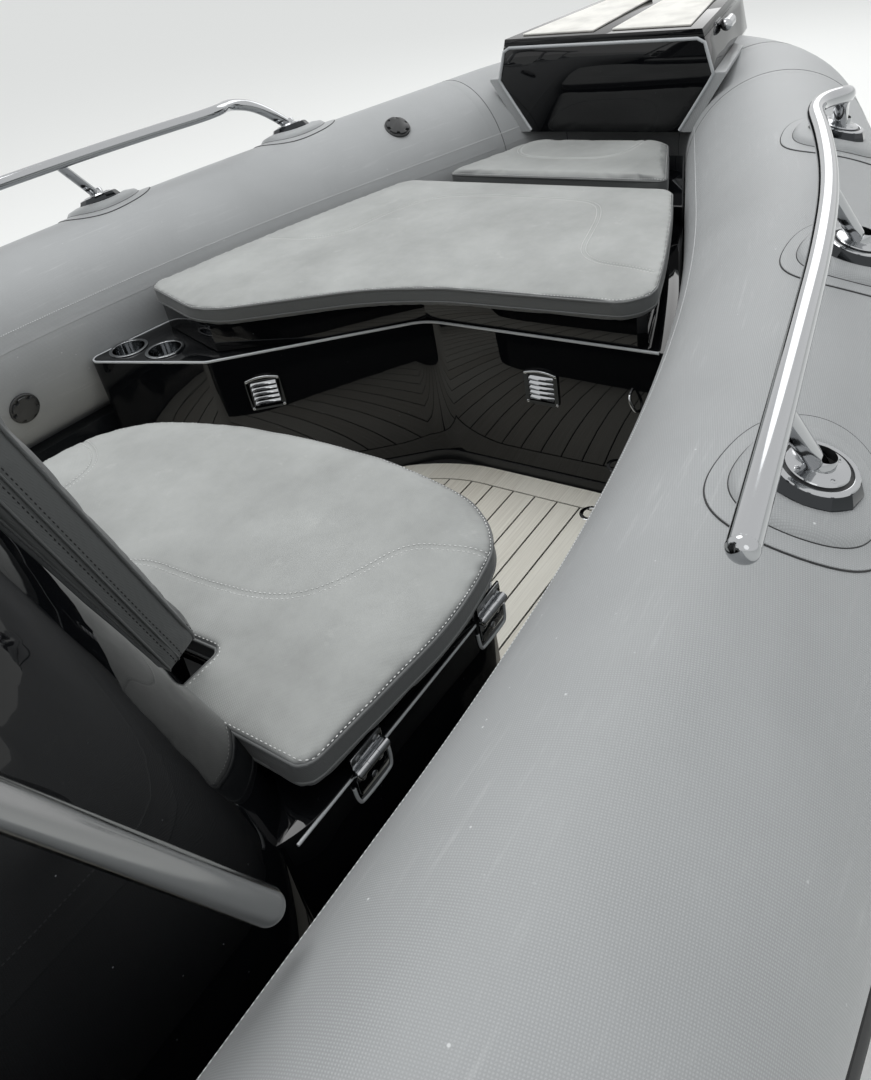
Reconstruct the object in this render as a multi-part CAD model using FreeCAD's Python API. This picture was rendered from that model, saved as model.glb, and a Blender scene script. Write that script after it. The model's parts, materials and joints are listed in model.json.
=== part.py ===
"""Inflatable rib boat: deep-V hull, buoyancy tubes, bow seating, console, stern bench and outboard.

Units are millimetres. X runs forward, Y to port and Z up. The origin lies on the
centreline at the waterline. Heights marked _z are above the waterline.
"""
import FreeCAD, Part
import math
import os

V = FreeCAD.Vector

# Buoyancy tubes
tube_radius = 250.0
tube_half = 1080.0          # centreline to tube axis on the straight run
tube_z = 515.0              # tube axis height at X = 0
tube_rise = 0.012           # rise of the tube axis for each millimetre forward
tube_aft = -2700.0          # where the tail cones begin
bend_start = 400.0          # where the tubes start to close in
bend_radius = 5100.0
bow_angle = 21.0            # heading of the tubes beside the bow step, degrees
nose_radius = 520.0         # plan radius of the nose
cone_length = 430.0
cone_tip_radius = 105.0
strake_width = 90.0
strake_depth = 28.0
strake_angle = -22.0        # below the tube's outer side, degrees
seam_gap = 4.0              # clearance between the tubes and the mouldings between them
part_gap = 0.3              # between pieces that rest on each other

# Hull
transom_x = -2950.0
transom_thick = 70.0
transom_top_z = 235.0
transom_notch_half = 330.0
sole_z = 120.0
sole_thick = 20.0
shelf_z = 330.0             # flange under the tubes, at X = 0
cockpit_inset = 220.0       # from the tube axis to the cockpit's side wall
cockpit_fwd_back = 999.8    # from the cockpit's forward end to the bow step
bow_eye_back = 122.7        # from the tubes' nose to the bow eye
bow_eye_root = 45.0         # how far its plate runs back into the stem
bow_eye_z = 120.0
chine_flat = 0.067          # width of the chine's flat as a share of its half beam
chine_drop = 6.0            # how far the flat rises outboard
mid_x = -500.0
fore_x = 1000.0
hull_stations = 34          # sections of the finished hull
spray_shares = (0.36, 0.68)  # spray rails, as shares of the chine's half beam
spray_width = 34.0
spray_depth = 15.0
spray_end = 900.0           # how far aft of the nose the spray rails stop
stem_half = 70.0            # half width of the stem's top
# keel z, chine as a share of the side's half beam, chine z, side inboard of the tube axis
hull_sections = (
    (-400.0, 0.796, -90.0, 75.0),
    (-405.0, 0.816, -75.0, 75.0),
    (-395.0, 0.823, -40.0, 85.0),
    (-320.0, 0.8125, 30.0, 54.0),
    (-190.0, 0.737, 130.0, 67.0),
    (10.0, 0.551, 205.0, 115.0),
    (190.0, 0.4, 262.0, 43.0),
    (262.0, 0.286, 290.0, 0.0),
)
# how far aft of the tubes' nose the forward sections stand
hull_bow_stations = (1328.0, 728.0, 278.0, 48.0, -12.0)

# Bow seating
locker_z = 522.0
locker_wall = 12.0
# corners of the locker's aft edge, from port to starboard: how far aft of the bow step, and share of
# the half beam between the tubes there
locker_edge = ((1530.8, 0.9801), (1432.8, 0.5342), (1087.8, -0.0508), (1097.8, -0.9532))
locker_lip = 30.0           # ledge round the locker's mouth
locker_mouth = 40.0         # depth cut for the mouth
locker_shoulder = 60.0      # rounding where the wing meets the slanted face
locker_nook = 120.0         # blend between the slanted face and the cross face
bow_room_aft = 1000.0       # where outlines between the tubes start
lid_gap = 2.0
bow_lid_z = 594.0
bow_lid_wall = 18.0
bow_lid_step = 6.0          # from the locker's face to the lid
bow_cushion_z = 646.0
# corners of the main bow cushion's aft edge, given as the locker's are
bow_cushion_edge = ((1319.8, 0.9753), (1414.8, 0.5393), (1159.8, -0.0437), (1131.8, -0.8824),
                    (1059.8, -0.9675))
bow_cushion_inset = 20.0    # from the tubes' inner sides
bow_cushion_gap = 50.0      # from the cushion to the fixed deck ahead of it
bow_lid_inset = 30.0        # from the cushion's edge to the lid's
bow_lid_gap = 20.0          # from the lid to the fixed deck
bow_hinge_y = 250.0
bow_deck_z = 574.0
bow_deck_length = 410.0
cushion_corner = 40.0
small_cushion_z = 626.0
small_cushion_length = 350.0
small_cushion_inset = 15.0  # from the tubes and the step
cup_ring = 104.0
cup_bore = 86.0
cup_depth = 75.0
cup_clear = 1.5              # from a cup to its hole in the locker
cup_wall = 1.2
cup_rim = 2.5
cup_places = ((1435.8, 0.9174), (1410.8, 0.7693))
vent_size = 90.0
vent_depth = 6.0
vent_window = 64.8
vent_back = 2.0
vent_blades = 5
# side view of a blade: depth and height
blade_line = ((1.0, 5.0), (2.6, 5.0), (6.0, -4.0), (4.4, -5.0))
# each vent: share along the face, height, and the two ends of the face
vent_places = ((0.22, 414.0, locker_edge[1], locker_edge[2]),
               (0.515, 389.0, locker_edge[2], locker_edge[3]))

# Bow step
step_beam = 537.0           # half beam of the tube axis at the step's aft face
step_length = 570.0
step_top_z = 913.0
step_top_half = 315.0
step_mid_half = 351.0
step_mid_z = 794.0
step_low_half = 252.0
step_low_z = 640.0
step_wall = 14.0
step_lid_thick = 22.0
step_nose_scale = 0.72      # width of the step's forward end against its aft end
step_room_end = 90.0        # from the forward end to the room inside
step_hinge_y = 62.0
step_leaf = 12.0
pad_thick = 6.0
pad_aft = 35.0              # from the step's aft face to the pads
pad_fwd = 90.0              # from the pads to the step's forward end
pad_side = 45.0             # from the lid's sides to the pads
pad_split = 30.0            # centreline to each pad
collar_width = 34.0         # fabric collar that beds the step on the tubes
collar_gap = 0.4
collar_top_z = 800.0
light_radius = 17.0         # navigation lights on the step's shoulders
light_length = 58.0
light_place = 0.41          # how far along the step the lights sit

# Grab rails on the tubes
rail_dia = 32.0
rail_z = 924.0
post_dia = 26.0
# x and distance outboard of the tube axis, along the rail's top run
rail_points = ((632.0, 74.0), (1047.0, 38.0), (1560.0, 27.0), (2065.0, -7.0))
rail_lean = 90.0            # how far aft of its base each post meets the rail
rail_bases = (957.0, 1610.0, 2224.0)
base_angle = 17.0           # outboard of the tube's crest, degrees
base_dia = 125.0
base_top_dia = 92.0
base_height = 24.0
base_bury = 12.0            # how far a ring goes into its patch
disc_dia = 79.0
disc_thick = 5.0
patch_dia = 235.0
patch_thick = 3.0
valve_dia = 78.0
valve_height = 9.0
valve_bury = 20.0
# each valve: place along the tube, degrees from the tube's crest, and side
valve_places = ((1077.0, -101.0, 1.0), (2464.0, -33.0, 1.0), (1077.0, -101.0, -1.0))

# Front seat and console, offset to starboard
console_side_gap = 90.0     # from the starboard tube to the console
walkway = 590.0             # from the port tube to the console
console_aft = -320.0
console_front = 455.0       # front face at the seat
console_radius = 200.0
console_knee_z = 545.0
console_top_z = 1120.0
console_top_half = 400.0
console_top_corner = 180.0
console_top_aft = -250.0
console_top_front = 301.0
seat_box_front = 930.0
seat_box_lap = 200.0        # how far the seat box's outline runs into the console
seat_box_corner = 170.0
seat_room_corner = 100.0
seat_inset_starboard = 5.0  # from the console's sides to the seat box
seat_inset_port = 41.0
seat_box_wall = 14.0
seat_rim_z = 560.0
seat_lid_z = 591.0
seat_lid_wall = 16.0
seat_cushion_z = 643.0
seat_cushion_aft = 396.0
seat_cushion_front = 1003.0
seat_cushion_half = 505.0
seat_corner = 210.0
seat_bow = 45.0             # how far the seat's front bows out
seat_taper = 40.0           # how far its sides draw in aft
seat_lid_inset = 40.0       # from the cushion's front to the lid's
seat_pan_inset = 20.0
seat_gap = 12.0             # between the seat and the console's front
seat_leaf = 20.0
seat_hinge_x = (500.0, 800.0)
hinge_length = 62.0
hinge_radius = 7.0
hinge_seat = 7.5            # from the pin to the face that a leaf lies on
hinge_pin = 3.0
hinge_play = 0.3
leaf_thick = 3.0
leaf_height = 34.0
back_width = 490.0
back_thick = 75.0
back_round = 22.0
back_low_z = 655.0
back_high_z = 1100.0
back_lean = 15.0
back_room = 62.0            # room for the backrest ahead of the console's front
back_swing = 30.0           # more room on the port side, where the rising lid swings past it
console_rail_dia = 36.0
# x, distance from the console's middle, z
console_rail_points = ((222.0, 628.0, 750.0), (71.0, 516.0, 1080.0), (-40.0, 455.0, 1230.0),
                       (-150.0, 380.0, 1235.0), (-200.0, 330.0, console_top_z))
console_foot_share = 0.16   # how far up the first run the stanchion meets the rail
console_foot = (-20.0, 300.0, -10.0)  # stanchion's foot: x and z from its top, y from the middle

# Helm
screen_thick = 6.0
screen_height = 330.0
screen_lean = 150.0
wheel_dia = 350.0
wheel_rim = 28.0
wheel_hub_x = -372.0
wheel_hub_z = 985.0
wheel_lean = 28.0
wheel_boss = 76.0
wheel_boss_length = 34.0
wheel_spoke = 18.0
column_dia = 60.0
column_length = 160.0
dash_half = 235.0
# side view of the dash pod on the console's top: x and height above it
dash_profile = ((-235.0, 0.0), (-150.0, 180.0), (-60.0, 192.0), (45.0, 0.0))
plotter_width = 230.0
plotter_height = 150.0
plotter_thick = 14.0
gauge_dia = 76.0
gauge_thick = 8.0
gauge_side = 172.0          # from the console's middle to the gauges
gauge_pitch = 86.0
throttle_side = 275.0       # from the console's middle to the throttle, on the starboard side
throttle_x = -140.0
throttle_length = 96.0
throttle_width = 60.0
throttle_height = 70.0
lever_length = 125.0
lever_lean = 15.0
lever_dia = 16.0
grip_dia = 34.0
grip_length = 70.0
screen_side = 380.0         # half width of the windscreen's foot
screen_top_side = 330.0
screen_depth = 230.0        # from its front to its ends
screen_set = 20.0           # from the console's top edge to the screen
helm_seat_aft = -1290.0
helm_seat_front = -830.0
helm_seat_half = 450.0
helm_seat_z = 720.0
helm_cushion_thick = 90.0
helm_back_top = 1150.0
helm_back_thick = 90.0
helm_pod_inset = 40.0
helm_corner = 90.0
helm_back_inset = 10.0
frame_dia = 30.0            # bar that carries a backrest
frame_inset = 120.0         # from the backrest's ends to the bar's posts
helm_frame_z = 560.0        # where the bar leaves the pod
helm_frame_top_z = 1090.0
back_corner = 25.0

# Stern bench and engine well
bench_aft = -2228.0
bench_front = -1720.0
bench_side_gap = 70.0        # from the cockpit wall to the bench
bench_z = 470.0
bench_wall = 16.0
bench_cushion_thick = 80.0
bench_cushion_aft = 60.0    # from the bench's aft edge to its cushion
bench_cushion_lap = 20.0
bench_back_thick = 90.0
bench_back_inset = 60.0
bench_back_top_z = 890.0
bench_frame_top_z = 840.0
bench_frame_half = 330.0
door_half = 205.0
door_low_z = 190.0
door_high_z = 410.0
door_thick = 18.0
door_gap = 3.0
door_hinge_z = 45.0         # from the door's ends to its hinges
well_floor_z = 150.0
well_wall = 12.0

# Outboard
tilt_x = -3020.0
tilt_z = 245.0
tilt_dia = 32.0
steer_x = -3110.0
swivel_dia = 72.0
swivel_low_z = -140.0
swivel_high_z = 300.0
swivel_half = 83.0
steer_dia = 44.0
bearing_play = 0.3
clamp_side = 92.0           # centreline to the inner faces of the clamp plates
clamp_thick = 30.0
clamp_low_z = -60.0
clamp_high_z = 290.0
clamp_hook = 14.0
arm_top_z = 330.0
arm_thick = 24.0
arm_half = 80.0
yoke_high_z = -146.0
yoke_thick = 30.0
yoke_half = 60.0
# midsection: z, front x, aft x and half width
leg_sections = ((306.0, -3178.0, -3330.0, 58.0), (60.0, -3176.0, -3332.0, 52.0),
                (-200.0, -3170.0, -3345.0, 46.0), (-400.0, -3164.0, -3372.0, 40.0))
plate_z = -410.0            # anti-ventilation plate
plate_thick = 9.7
# plan of the plate, port half, from its front
plate_plan = ((-3130.0, 20.0), (-3200.0, 75.0), (-3480.0, 110.0))
prop_z = -615.0
prop_x = -3420.0
prop_radius = 190.0
prop_hub = 50.0
prop_hub_length = 130.0
prop_shaft = 12.0
prop_shaft_length = 150.0
prop_pitch = 380.0
# propeller blade: share of the radius, chord and thickness
blade_sections = ((0.2, 74.0, 11.0), (0.45, 108.0, 9.0), (0.7, 132.0, 6.5), (0.9, 104.0, 4.5),
                  (0.99, 40.0, 3.0))
blade_sweep = 34.0
blade_set = 40.0            # from the hub's middle mark to the blades' axis
torpedo_radius = 58.0
torpedo_aft = -3390.0
torpedo_nose = -3030.0
# torpedo outline: share of its length from the aft end, and share of its radius
torpedo_line = ((0.0, 0.88), (0.12, 0.97), (0.4, 1.0), (0.65, 0.9), (0.85, 0.6), (0.96, 0.25), (1.0, 0.0))
# strut: front x, aft x and half width at the plate and at the torpedo
strut_top = (-3150.0, -3380.0, 42.0)
strut_foot = (-3170.0, -3370.0, 30.0)
skeg_z = -815.0
skeg_thick = 14.0
# skeg: x of its root and tip, front to aft
skeg_line = (-3190.0, -3270.0, -3340.0, -3370.0)
cowl_wall = 9.0
cowl_gap = 0.5
# cowl: z, front x, aft x and half width, from the bottom up
pan_sections = ((330.0, -3066.0, -3370.0, 112.0), (362.0, -3048.0, -3410.0, 140.0),
                (440.0, -3012.0, -3520.0, 188.0), (520.0, -2990.0, -3596.0, 214.0))
cowl_sections = ((520.5, -2988.0, -3600.0, 216.0), (640.0, -2982.0, -3612.0, 221.0),
                 (800.0, -2990.0, -3604.0, 212.0), (920.0, -3012.0, -3576.0, 196.0),
                 (995.0, -3050.0, -3530.0, 168.0), (1035.0, -3110.0, -3462.0, 122.0))
cowl_corner = 0.55          # corner radius as a share of the half width
block_low = (-3490.0, -150.0)
block_high = (-3080.0, 150.0)
block_top_z = 920.0

# Eyes
stern_eye_y = 560.0
stern_eye_z = 60.0
eye_reach = 34.0            # from the plate's face to the hole
eye_radius = 24.0
eye_hole = 11.0
eye_thick = 14.0
eye_plate = 60.0
eye_plate_height = 80.0
eye_plate_thick = 8.0


def save(name, shape):
    """Write one node to its own file."""
    shape.exportStep("parts/" + name + ".step")


def face(points, z=0.0):
    """Flat polygon in plan at height z."""
    ring = [V(x, y, z) for x, y in points]
    return Part.Face(Part.makePolygon(ring + [ring[0]]))


def prism(points, z0, z1):
    """Plan polygon pulled up from z0 to z1."""
    return face(points, z0).extrude(V(0, 0, z1 - z0))


def side_prism(points, y0, y1):
    """Side-view polygon of (x, z) points pulled from y0 to y1."""
    ring = [V(x, y0, z) for x, z in points]
    return Part.Face(Part.makePolygon(ring + [ring[0]])).extrude(V(0, y1 - y0, 0))


def box(x0, x1, y0, y1, z0, z1):
    """Box from its lowest to its highest corner."""
    return Part.makeBox(x1 - x0, y1 - y0, z1 - z0, V(x0, y0, z0))


def rod(start, end, dia):
    """Round bar between two points."""
    run = end - start
    return Part.makeCylinder(dia / 2, run.Length, start, run)


def mirrored(shape):
    """Copy on the other side of the centreline."""
    return shape.mirror(V(0, 0, 0), V(0, 1, 0))


def turned(shape, point, axis, angle):
    """Copy turned about an axis through a point."""
    copy = shape.copy()
    copy.rotate(point, axis, angle)
    return copy


def vertical_edges(shape, low=None):
    """Edges that run straight up."""
    found = []
    for edge in shape.Edges:
        a, b = edge.Vertexes[0].Point, edge.Vertexes[-1].Point
        upright = abs(a.x - b.x) < 0.01 and abs(a.y - b.y) < 0.01 and abs(a.z - b.z) > 1.0
        if upright and (low is None or low(a)):
            found.append(edge)
    return found


def bent_tube(points, dia):
    """Round tube along straight runs joined by arcs as large as the runs allow."""
    ends = [points[0]]
    edges = []
    for before, corner, after in zip(points, points[1:], points[2:]):
        back = (before - corner).normalize()
        ahead = (after - corner).normalize()
        half_turn = (math.pi - back.getAngle(ahead)) / 2
        run = 0.45 * min((before - corner).Length, (after - corner).Length)
        radius = run / math.tan(half_turn)
        start = corner + back * run
        end = corner + ahead * run
        middle_way = (back + ahead).normalize()
        middle = corner + middle_way * (radius / math.cos(half_turn) - radius)
        edges.append(Part.LineSegment(ends[-1], start).toShape())
        edges.append(Part.Arc(start, middle, end).toShape())
        ends.append(end)
    edges.append(Part.LineSegment(ends[-1], points[-1]).toShape())
    way = points[1] - points[0]
    section = Part.Wire(Part.makeCircle(dia / 2, points[0], way))
    return Part.Wire(edges).makePipeShell([section], True, False)


# Places across the boat, worked out from the tubes
bench_half = tube_half - cockpit_inset - bench_side_gap
console_half = tube_half - tube_radius - (console_side_gap + walkway) / 2
console_y = (console_side_gap - walkway) / 2
seat_box_half = console_half - (seat_inset_starboard + seat_inset_port) / 2
seat_y = console_y + (seat_inset_starboard - seat_inset_port) / 2

# Plan of the tube axis: straight, wide arc, straight, nose arc
turn = math.radians(bow_angle)
bend_centre = V(bend_start, tube_half - bend_radius, 0)
bend_end = V(bend_start + bend_radius * math.sin(turn),
             tube_half - bend_radius * (1 - math.cos(turn)), 0)
nose_start_y = nose_radius * math.cos(turn)
nose_start_x = bend_end.x + (bend_end.y - nose_start_y) / math.tan(turn)
nose_centre_x = nose_start_x - nose_radius * math.sin(turn)
tilt_angle = -math.degrees(math.atan(tube_rise))

# Places along the bow, worked out from where the tubes close in
nose_tip_x = nose_centre_x + nose_radius
step_aft = bend_end.x + (bend_end.y - step_beam) / math.tan(turn)
step_fwd = step_aft + step_length
bow_deck_aft = step_aft - bow_deck_length
bow_cushion_fwd = bow_deck_aft - bow_cushion_gap
bow_lid_fwd = bow_deck_aft - bow_lid_gap
cockpit_fwd = step_aft - cockpit_fwd_back
bow_eye_x = nose_tip_x - bow_eye_back
outside = tube_half + tube_radius


def tube_half_at(x):
    """Half beam of the tube axis at a station."""
    if x <= bend_start:
        return tube_half
    if x <= bend_end.x:
        return tube_half - bend_radius + math.sqrt(bend_radius ** 2 - (x - bend_start) ** 2)
    if x <= nose_start_x:
        return bend_end.y - (x - bend_end.x) * math.tan(turn)
    return math.sqrt(max(nose_radius ** 2 - (x - nose_centre_x) ** 2, 0.0))


def heading_at(x):
    """Angle of the tube axis to the centreline, in radians."""
    if x <= bend_start:
        return 0.0
    if x <= bend_end.x:
        return math.asin((x - bend_start) / bend_radius)
    if x <= nose_start_x:
        return turn
    return math.asin((x - nose_centre_x) / nose_radius)


def tube_spot(x, angle, lift=0.0):
    """Point on the port tube's skin and its outward direction, angle outboard of the crest."""
    heading = heading_at(x)
    a = math.radians(angle)
    out = V(math.sin(heading) * math.sin(a), math.cos(heading) * math.sin(a), math.cos(a))
    axis = V(x, tube_half_at(x), tube_z + tube_rise * x)
    return axis + out * (tube_radius + lift), out


def bow_spot(back, share):
    """Plan point given by its distance aft of the bow step and its share of the half beam there."""
    x = step_aft - back
    return x, share * (tube_half_at(x) - tube_radius)


def tilted(shape):
    """Give a flat-built tube piece the rise of the tubes."""
    return turned(shape, V(0, 0, tube_z), V(0, 1, 0), tilt_angle)


def along_tube(section, aft):
    """Sweep a closed section, drawn at X = 0 across the port axis, from aft to the nose."""
    runs = []
    flat = Part.Face(section)
    straight = flat.copy()
    straight.translate(V(aft, 0, 0))
    runs.append(straight.extrude(V(bend_start - aft, 0, 0)))
    arc = flat.copy()
    arc.translate(V(bend_start, 0, 0))
    runs.append(arc.revolve(V(bend_start, tube_half - bend_radius, 0), V(0, 0, -1), bow_angle))
    after_arc = turned(arc, V(bend_start, tube_half - bend_radius, 0), V(0, 0, -1), bow_angle)
    runs.append(after_arc.extrude(V(nose_start_x, nose_start_y, 0) - bend_end))
    at_nose = after_arc.copy()
    at_nose.translate(V(nose_start_x, nose_start_y, 0) - bend_end)
    runs.append(at_nose.revolve(V(nose_centre_x, 0, 0), V(0, 0, -1), 90 - bow_angle))
    return tilted(runs[0].multiFuse(runs[1:]).removeSplitter())


def slab(corner, along, way, thickness):
    """Flat plate from a corner, two edges and its thickness."""
    ring = [corner, corner + along, corner + along + way, corner + way]
    return Part.Face(Part.makePolygon(ring + [ring[0]])).extrude(thickness)


def hinges(pins, along, fixed_way, fixed_wall, moving_way, moving_wall, moving_height):
    """Butt hinges: outer knuckles and pin on the fixed leaf, middle knuckle on the moving one."""
    half = hinge_length / 2
    third = hinge_length / 6
    fixed_parts = []
    moving_parts = []
    for pin in pins:
        def leaf(way, wall, height, spans):
            base = pin + wall * hinge_seat
            reach = hinge_radius + 0.5
            body = slab(base + way * reach - along * half, along * hinge_length, way * height,
                        wall * -leaf_thick)
            for a, b in spans:
                body = body.fuse(slab(base + along * a, along * (b - a), way * (reach + 1),
                                      wall * -leaf_thick))
                body = body.fuse(Part.makeCylinder(hinge_radius, b - a, pin + along * a, along))
            return body
        outer = ((-half, -third - hinge_play), (third + hinge_play, half))
        shaft = Part.makeCylinder(hinge_pin, hinge_length, pin - along * half, along)
        hole = Part.makeCylinder(hinge_pin + hinge_play, hinge_length, pin - along * half, along)
        fixed_parts.append(leaf(fixed_way, fixed_wall, leaf_height, outer).fuse(shaft))
        moving_parts.append(leaf(moving_way, moving_wall, moving_height, ((-third, third),)).cut(hole))
    return Part.makeCompound(fixed_parts), moving_parts


def tube_body(radius):
    """Port tube of a given radius, from its tail cone to the centreline at the nose."""
    section = Part.Wire(Part.makeCircle(radius, V(0, tube_half, tube_z), V(1, 0, 0)))
    return along_tube(section, tube_aft)


def inner_outline(offset, aft):
    """Plan face between the tubes: each side lies offset inboard of the tube axis."""
    side_x = bend_start + (bend_radius - offset) * math.sin(turn)
    side_y = tube_half - bend_radius + (bend_radius - offset) * math.cos(turn)
    mid = turn / 2
    mid_point = V(bend_start + (bend_radius - offset) * math.sin(mid),
                  tube_half - bend_radius + (bend_radius - offset) * math.cos(mid), 0)
    small = nose_radius - offset
    nose = V(nose_centre_x + small * math.sin(turn), small * math.cos(turn), 0)
    a = V(aft, tube_half - offset, 0)
    b = V(bend_start, tube_half - offset, 0)
    c = V(side_x, side_y, 0)
    flip = lambda p: V(p.x, -p.y, p.z)
    edges = [Part.LineSegment(a, b).toShape(),
             Part.Arc(b, mid_point, c).toShape(),
             Part.LineSegment(c, nose).toShape(),
             Part.Arc(nose, V(nose_centre_x + small, 0, 0), flip(nose)).toShape(),
             Part.LineSegment(flip(nose), flip(c)).toShape(),
             Part.Arc(flip(c), flip(mid_point), flip(b)).toShape(),
             Part.LineSegment(flip(b), flip(a)).toShape(),
             Part.LineSegment(flip(a), a).toShape()]
    return Part.Face(Part.Wire(edges))


def between_tubes(offset, aft, z0, z1):
    """The room between the tubes from z0 to z1."""
    floor = inner_outline(offset, aft)
    floor.translate(V(0, 0, z0))
    return floor.extrude(V(0, 0, z1 - z0))


def rounded_plan(x0, x1, y0, y1, radius, z):
    """Closed wire of a rounded rectangle in plan."""
    r = radius
    k = r * (1 - math.sqrt(0.5))
    corners = ((x1 - r, y0, x1 - k, y0 + k, x1, y0 + r), (x1, y1 - r, x1 - k, y1 - k, x1 - r, y1),
               (x0 + r, y1, x0 + k, y1 - k, x0, y1 - r), (x0, y0 + r, x0 + k, y0 + k, x0 + r, y0))
    edges = []
    last = V(x0 + r, y0, z)
    first = last
    for ax, ay, bx, by, cx, cy in corners:
        start = V(ax, ay, z)
        end = V(cx, cy, z) if (cx, cy) != (first.x, first.y) else first
        edges.append(Part.LineSegment(last, start).toShape())
        edges.append(Part.Arc(start, V(bx, by, z), end).toShape())
        last = end
    return Part.Wire(edges)


def make_tubes():
    """Tubes with their tail cones, and the rub strake round them."""
    port = tube_body(tube_radius)
    cone = Part.makeCone(cone_tip_radius, tube_radius, cone_length,
                         V(tube_aft - cone_length, tube_half, tube_z), V(1, 0, 0))
    port = port.fuse(tilted(cone))
    save("tube_port", port)
    save("tube_starboard", mirrored(port))
    a = math.radians(strake_angle)
    centre = V(0, tube_half + tube_radius * math.cos(a), tube_z + tube_radius * math.sin(a))
    along = V(0, -math.sin(a), math.cos(a)) * (strake_width / 2)
    out = V(0, math.cos(a), math.sin(a))
    inner = centre - out * (tube_radius * 0.1)
    section = Part.Wire([Part.LineSegment(inner - along, centre - along + out * 4).toShape(),
                         Part.Arc(centre - along + out * 4, centre + out * strake_depth,
                                  centre + along + out * 4).toShape(),
                         Part.LineSegment(centre + along + out * 4, inner + along).toShape(),
                         Part.LineSegment(inner + along, inner - along).toShape()])
    strake = along_tube(section, tube_aft).cut(port)
    strake = strake.fuse(mirrored(strake))
    save("rub_strake", strake)
    return port


def hull_line(x):
    """Keel z, chine share, chine z and inset at a station, on a smooth line through the table."""
    places = [transom_x, mid_x, fore_x] + [nose_tip_x - back for back in hull_bow_stations]
    index = max(i for i in range(len(places) - 1) if places[i] <= x + 0.001 or i == 0)
    span = places[index + 1] - places[index]
    t = (x - places[index]) / span
    values = []
    for column in range(4):
        def value(i):
            return hull_sections[min(max(i, 0), len(places) - 1)][column]

        def slope(i):
            a, b = max(i - 1, 0), min(i + 1, len(places) - 1)
            return (value(b) - value(a)) / (places[b] - places[a])
        lead = slope(index) * span
        trail = slope(index + 1) * span
        values.append((2 * t ** 3 - 3 * t ** 2 + 1) * value(index) + (t ** 3 - 2 * t ** 2 + t) * lead
                      + (3 * t ** 2 - 2 * t ** 3) * value(index + 1) + (t ** 3 - t ** 2) * trail)
    return values


def hull_half(x):
    """Half section of the hull at a station: keel, chine, outer edge of its flat and top."""
    keel_z, chine_share, chine_z, inset = hull_line(x)
    side_y = max(tube_half_at(x) - inset, stem_half)
    chine_y = side_y * chine_share
    return [V(x, 0, keel_z), V(x, chine_y, chine_z), V(x, chine_y * (1 + chine_flat), chine_z + chine_drop),
            V(x, side_y, shelf_z + tube_rise * x)]


def make_spray_rails():
    """Two spray rails on each side of the bottom."""
    rails = []
    fwd = nose_tip_x - spray_end
    for share in spray_shares:
        rings = []
        for i in range(hull_stations):
            x = transom_x + (fwd - transom_x) * i / (hull_stations - 1)
            keel, chine = hull_half(x)[:2]
            way = (chine - keel).normalize()
            out = V(0, way.z, -way.y)
            spot = keel + (chine - keel) * share
            fade = min(1.0, (hull_stations - 1 - i) / 4.0 + 0.05)
            inner = spot - way * spray_width - out * chine_drop
            tip = spot + out * spray_depth * fade
            outer = spot - out * chine_drop
            rings.append(Part.makePolygon([inner, tip, outer, inner]))
        rail = Part.makeLoft(rings, True, True)
        rails += [rail, mirrored(rail)]
    return rails


def make_hull(port):
    """Deep-V hull whose flange carries the tubes, open above the sole."""
    rings = []
    last_x = nose_tip_x - hull_bow_stations[-1]
    for i in range(hull_stations):
        t = i / (hull_stations - 1)
        x = transom_x + (last_x - transom_x) * (1 - (1 - t) ** 1.6)
        half = hull_half(x)
        ring = half + [V(p.x, -p.y, p.z) for p in reversed(half[1:])]
        rings.append(Part.makePolygon(ring + [ring[0]]))
    body = Part.makeLoft(rings, True, True)
    body = body.multiFuse(make_spray_rails())
    body = body.cut(port).cut(mirrored(port))
    well = between_tubes(cockpit_inset, transom_x + transom_thick, sole_z - sole_thick, tube_z)
    well = well.common(box(transom_x, cockpit_fwd, -outside, outside, 0, tube_z))
    notch = box(transom_x - 1, transom_x + transom_thick + 1, -transom_notch_half,
                transom_notch_half, transom_top_z, tube_z)
    body = body.cut(well).cut(notch)
    save("hull", body)
    sole = between_tubes(cockpit_inset + part_gap, transom_x + transom_thick, sole_z - sole_thick, sole_z)
    sole = sole.common(box(bench_aft, cockpit_fwd - part_gap, -outside, outside, 0, tube_z))
    save("cockpit_sole", sole)
    return body


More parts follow.
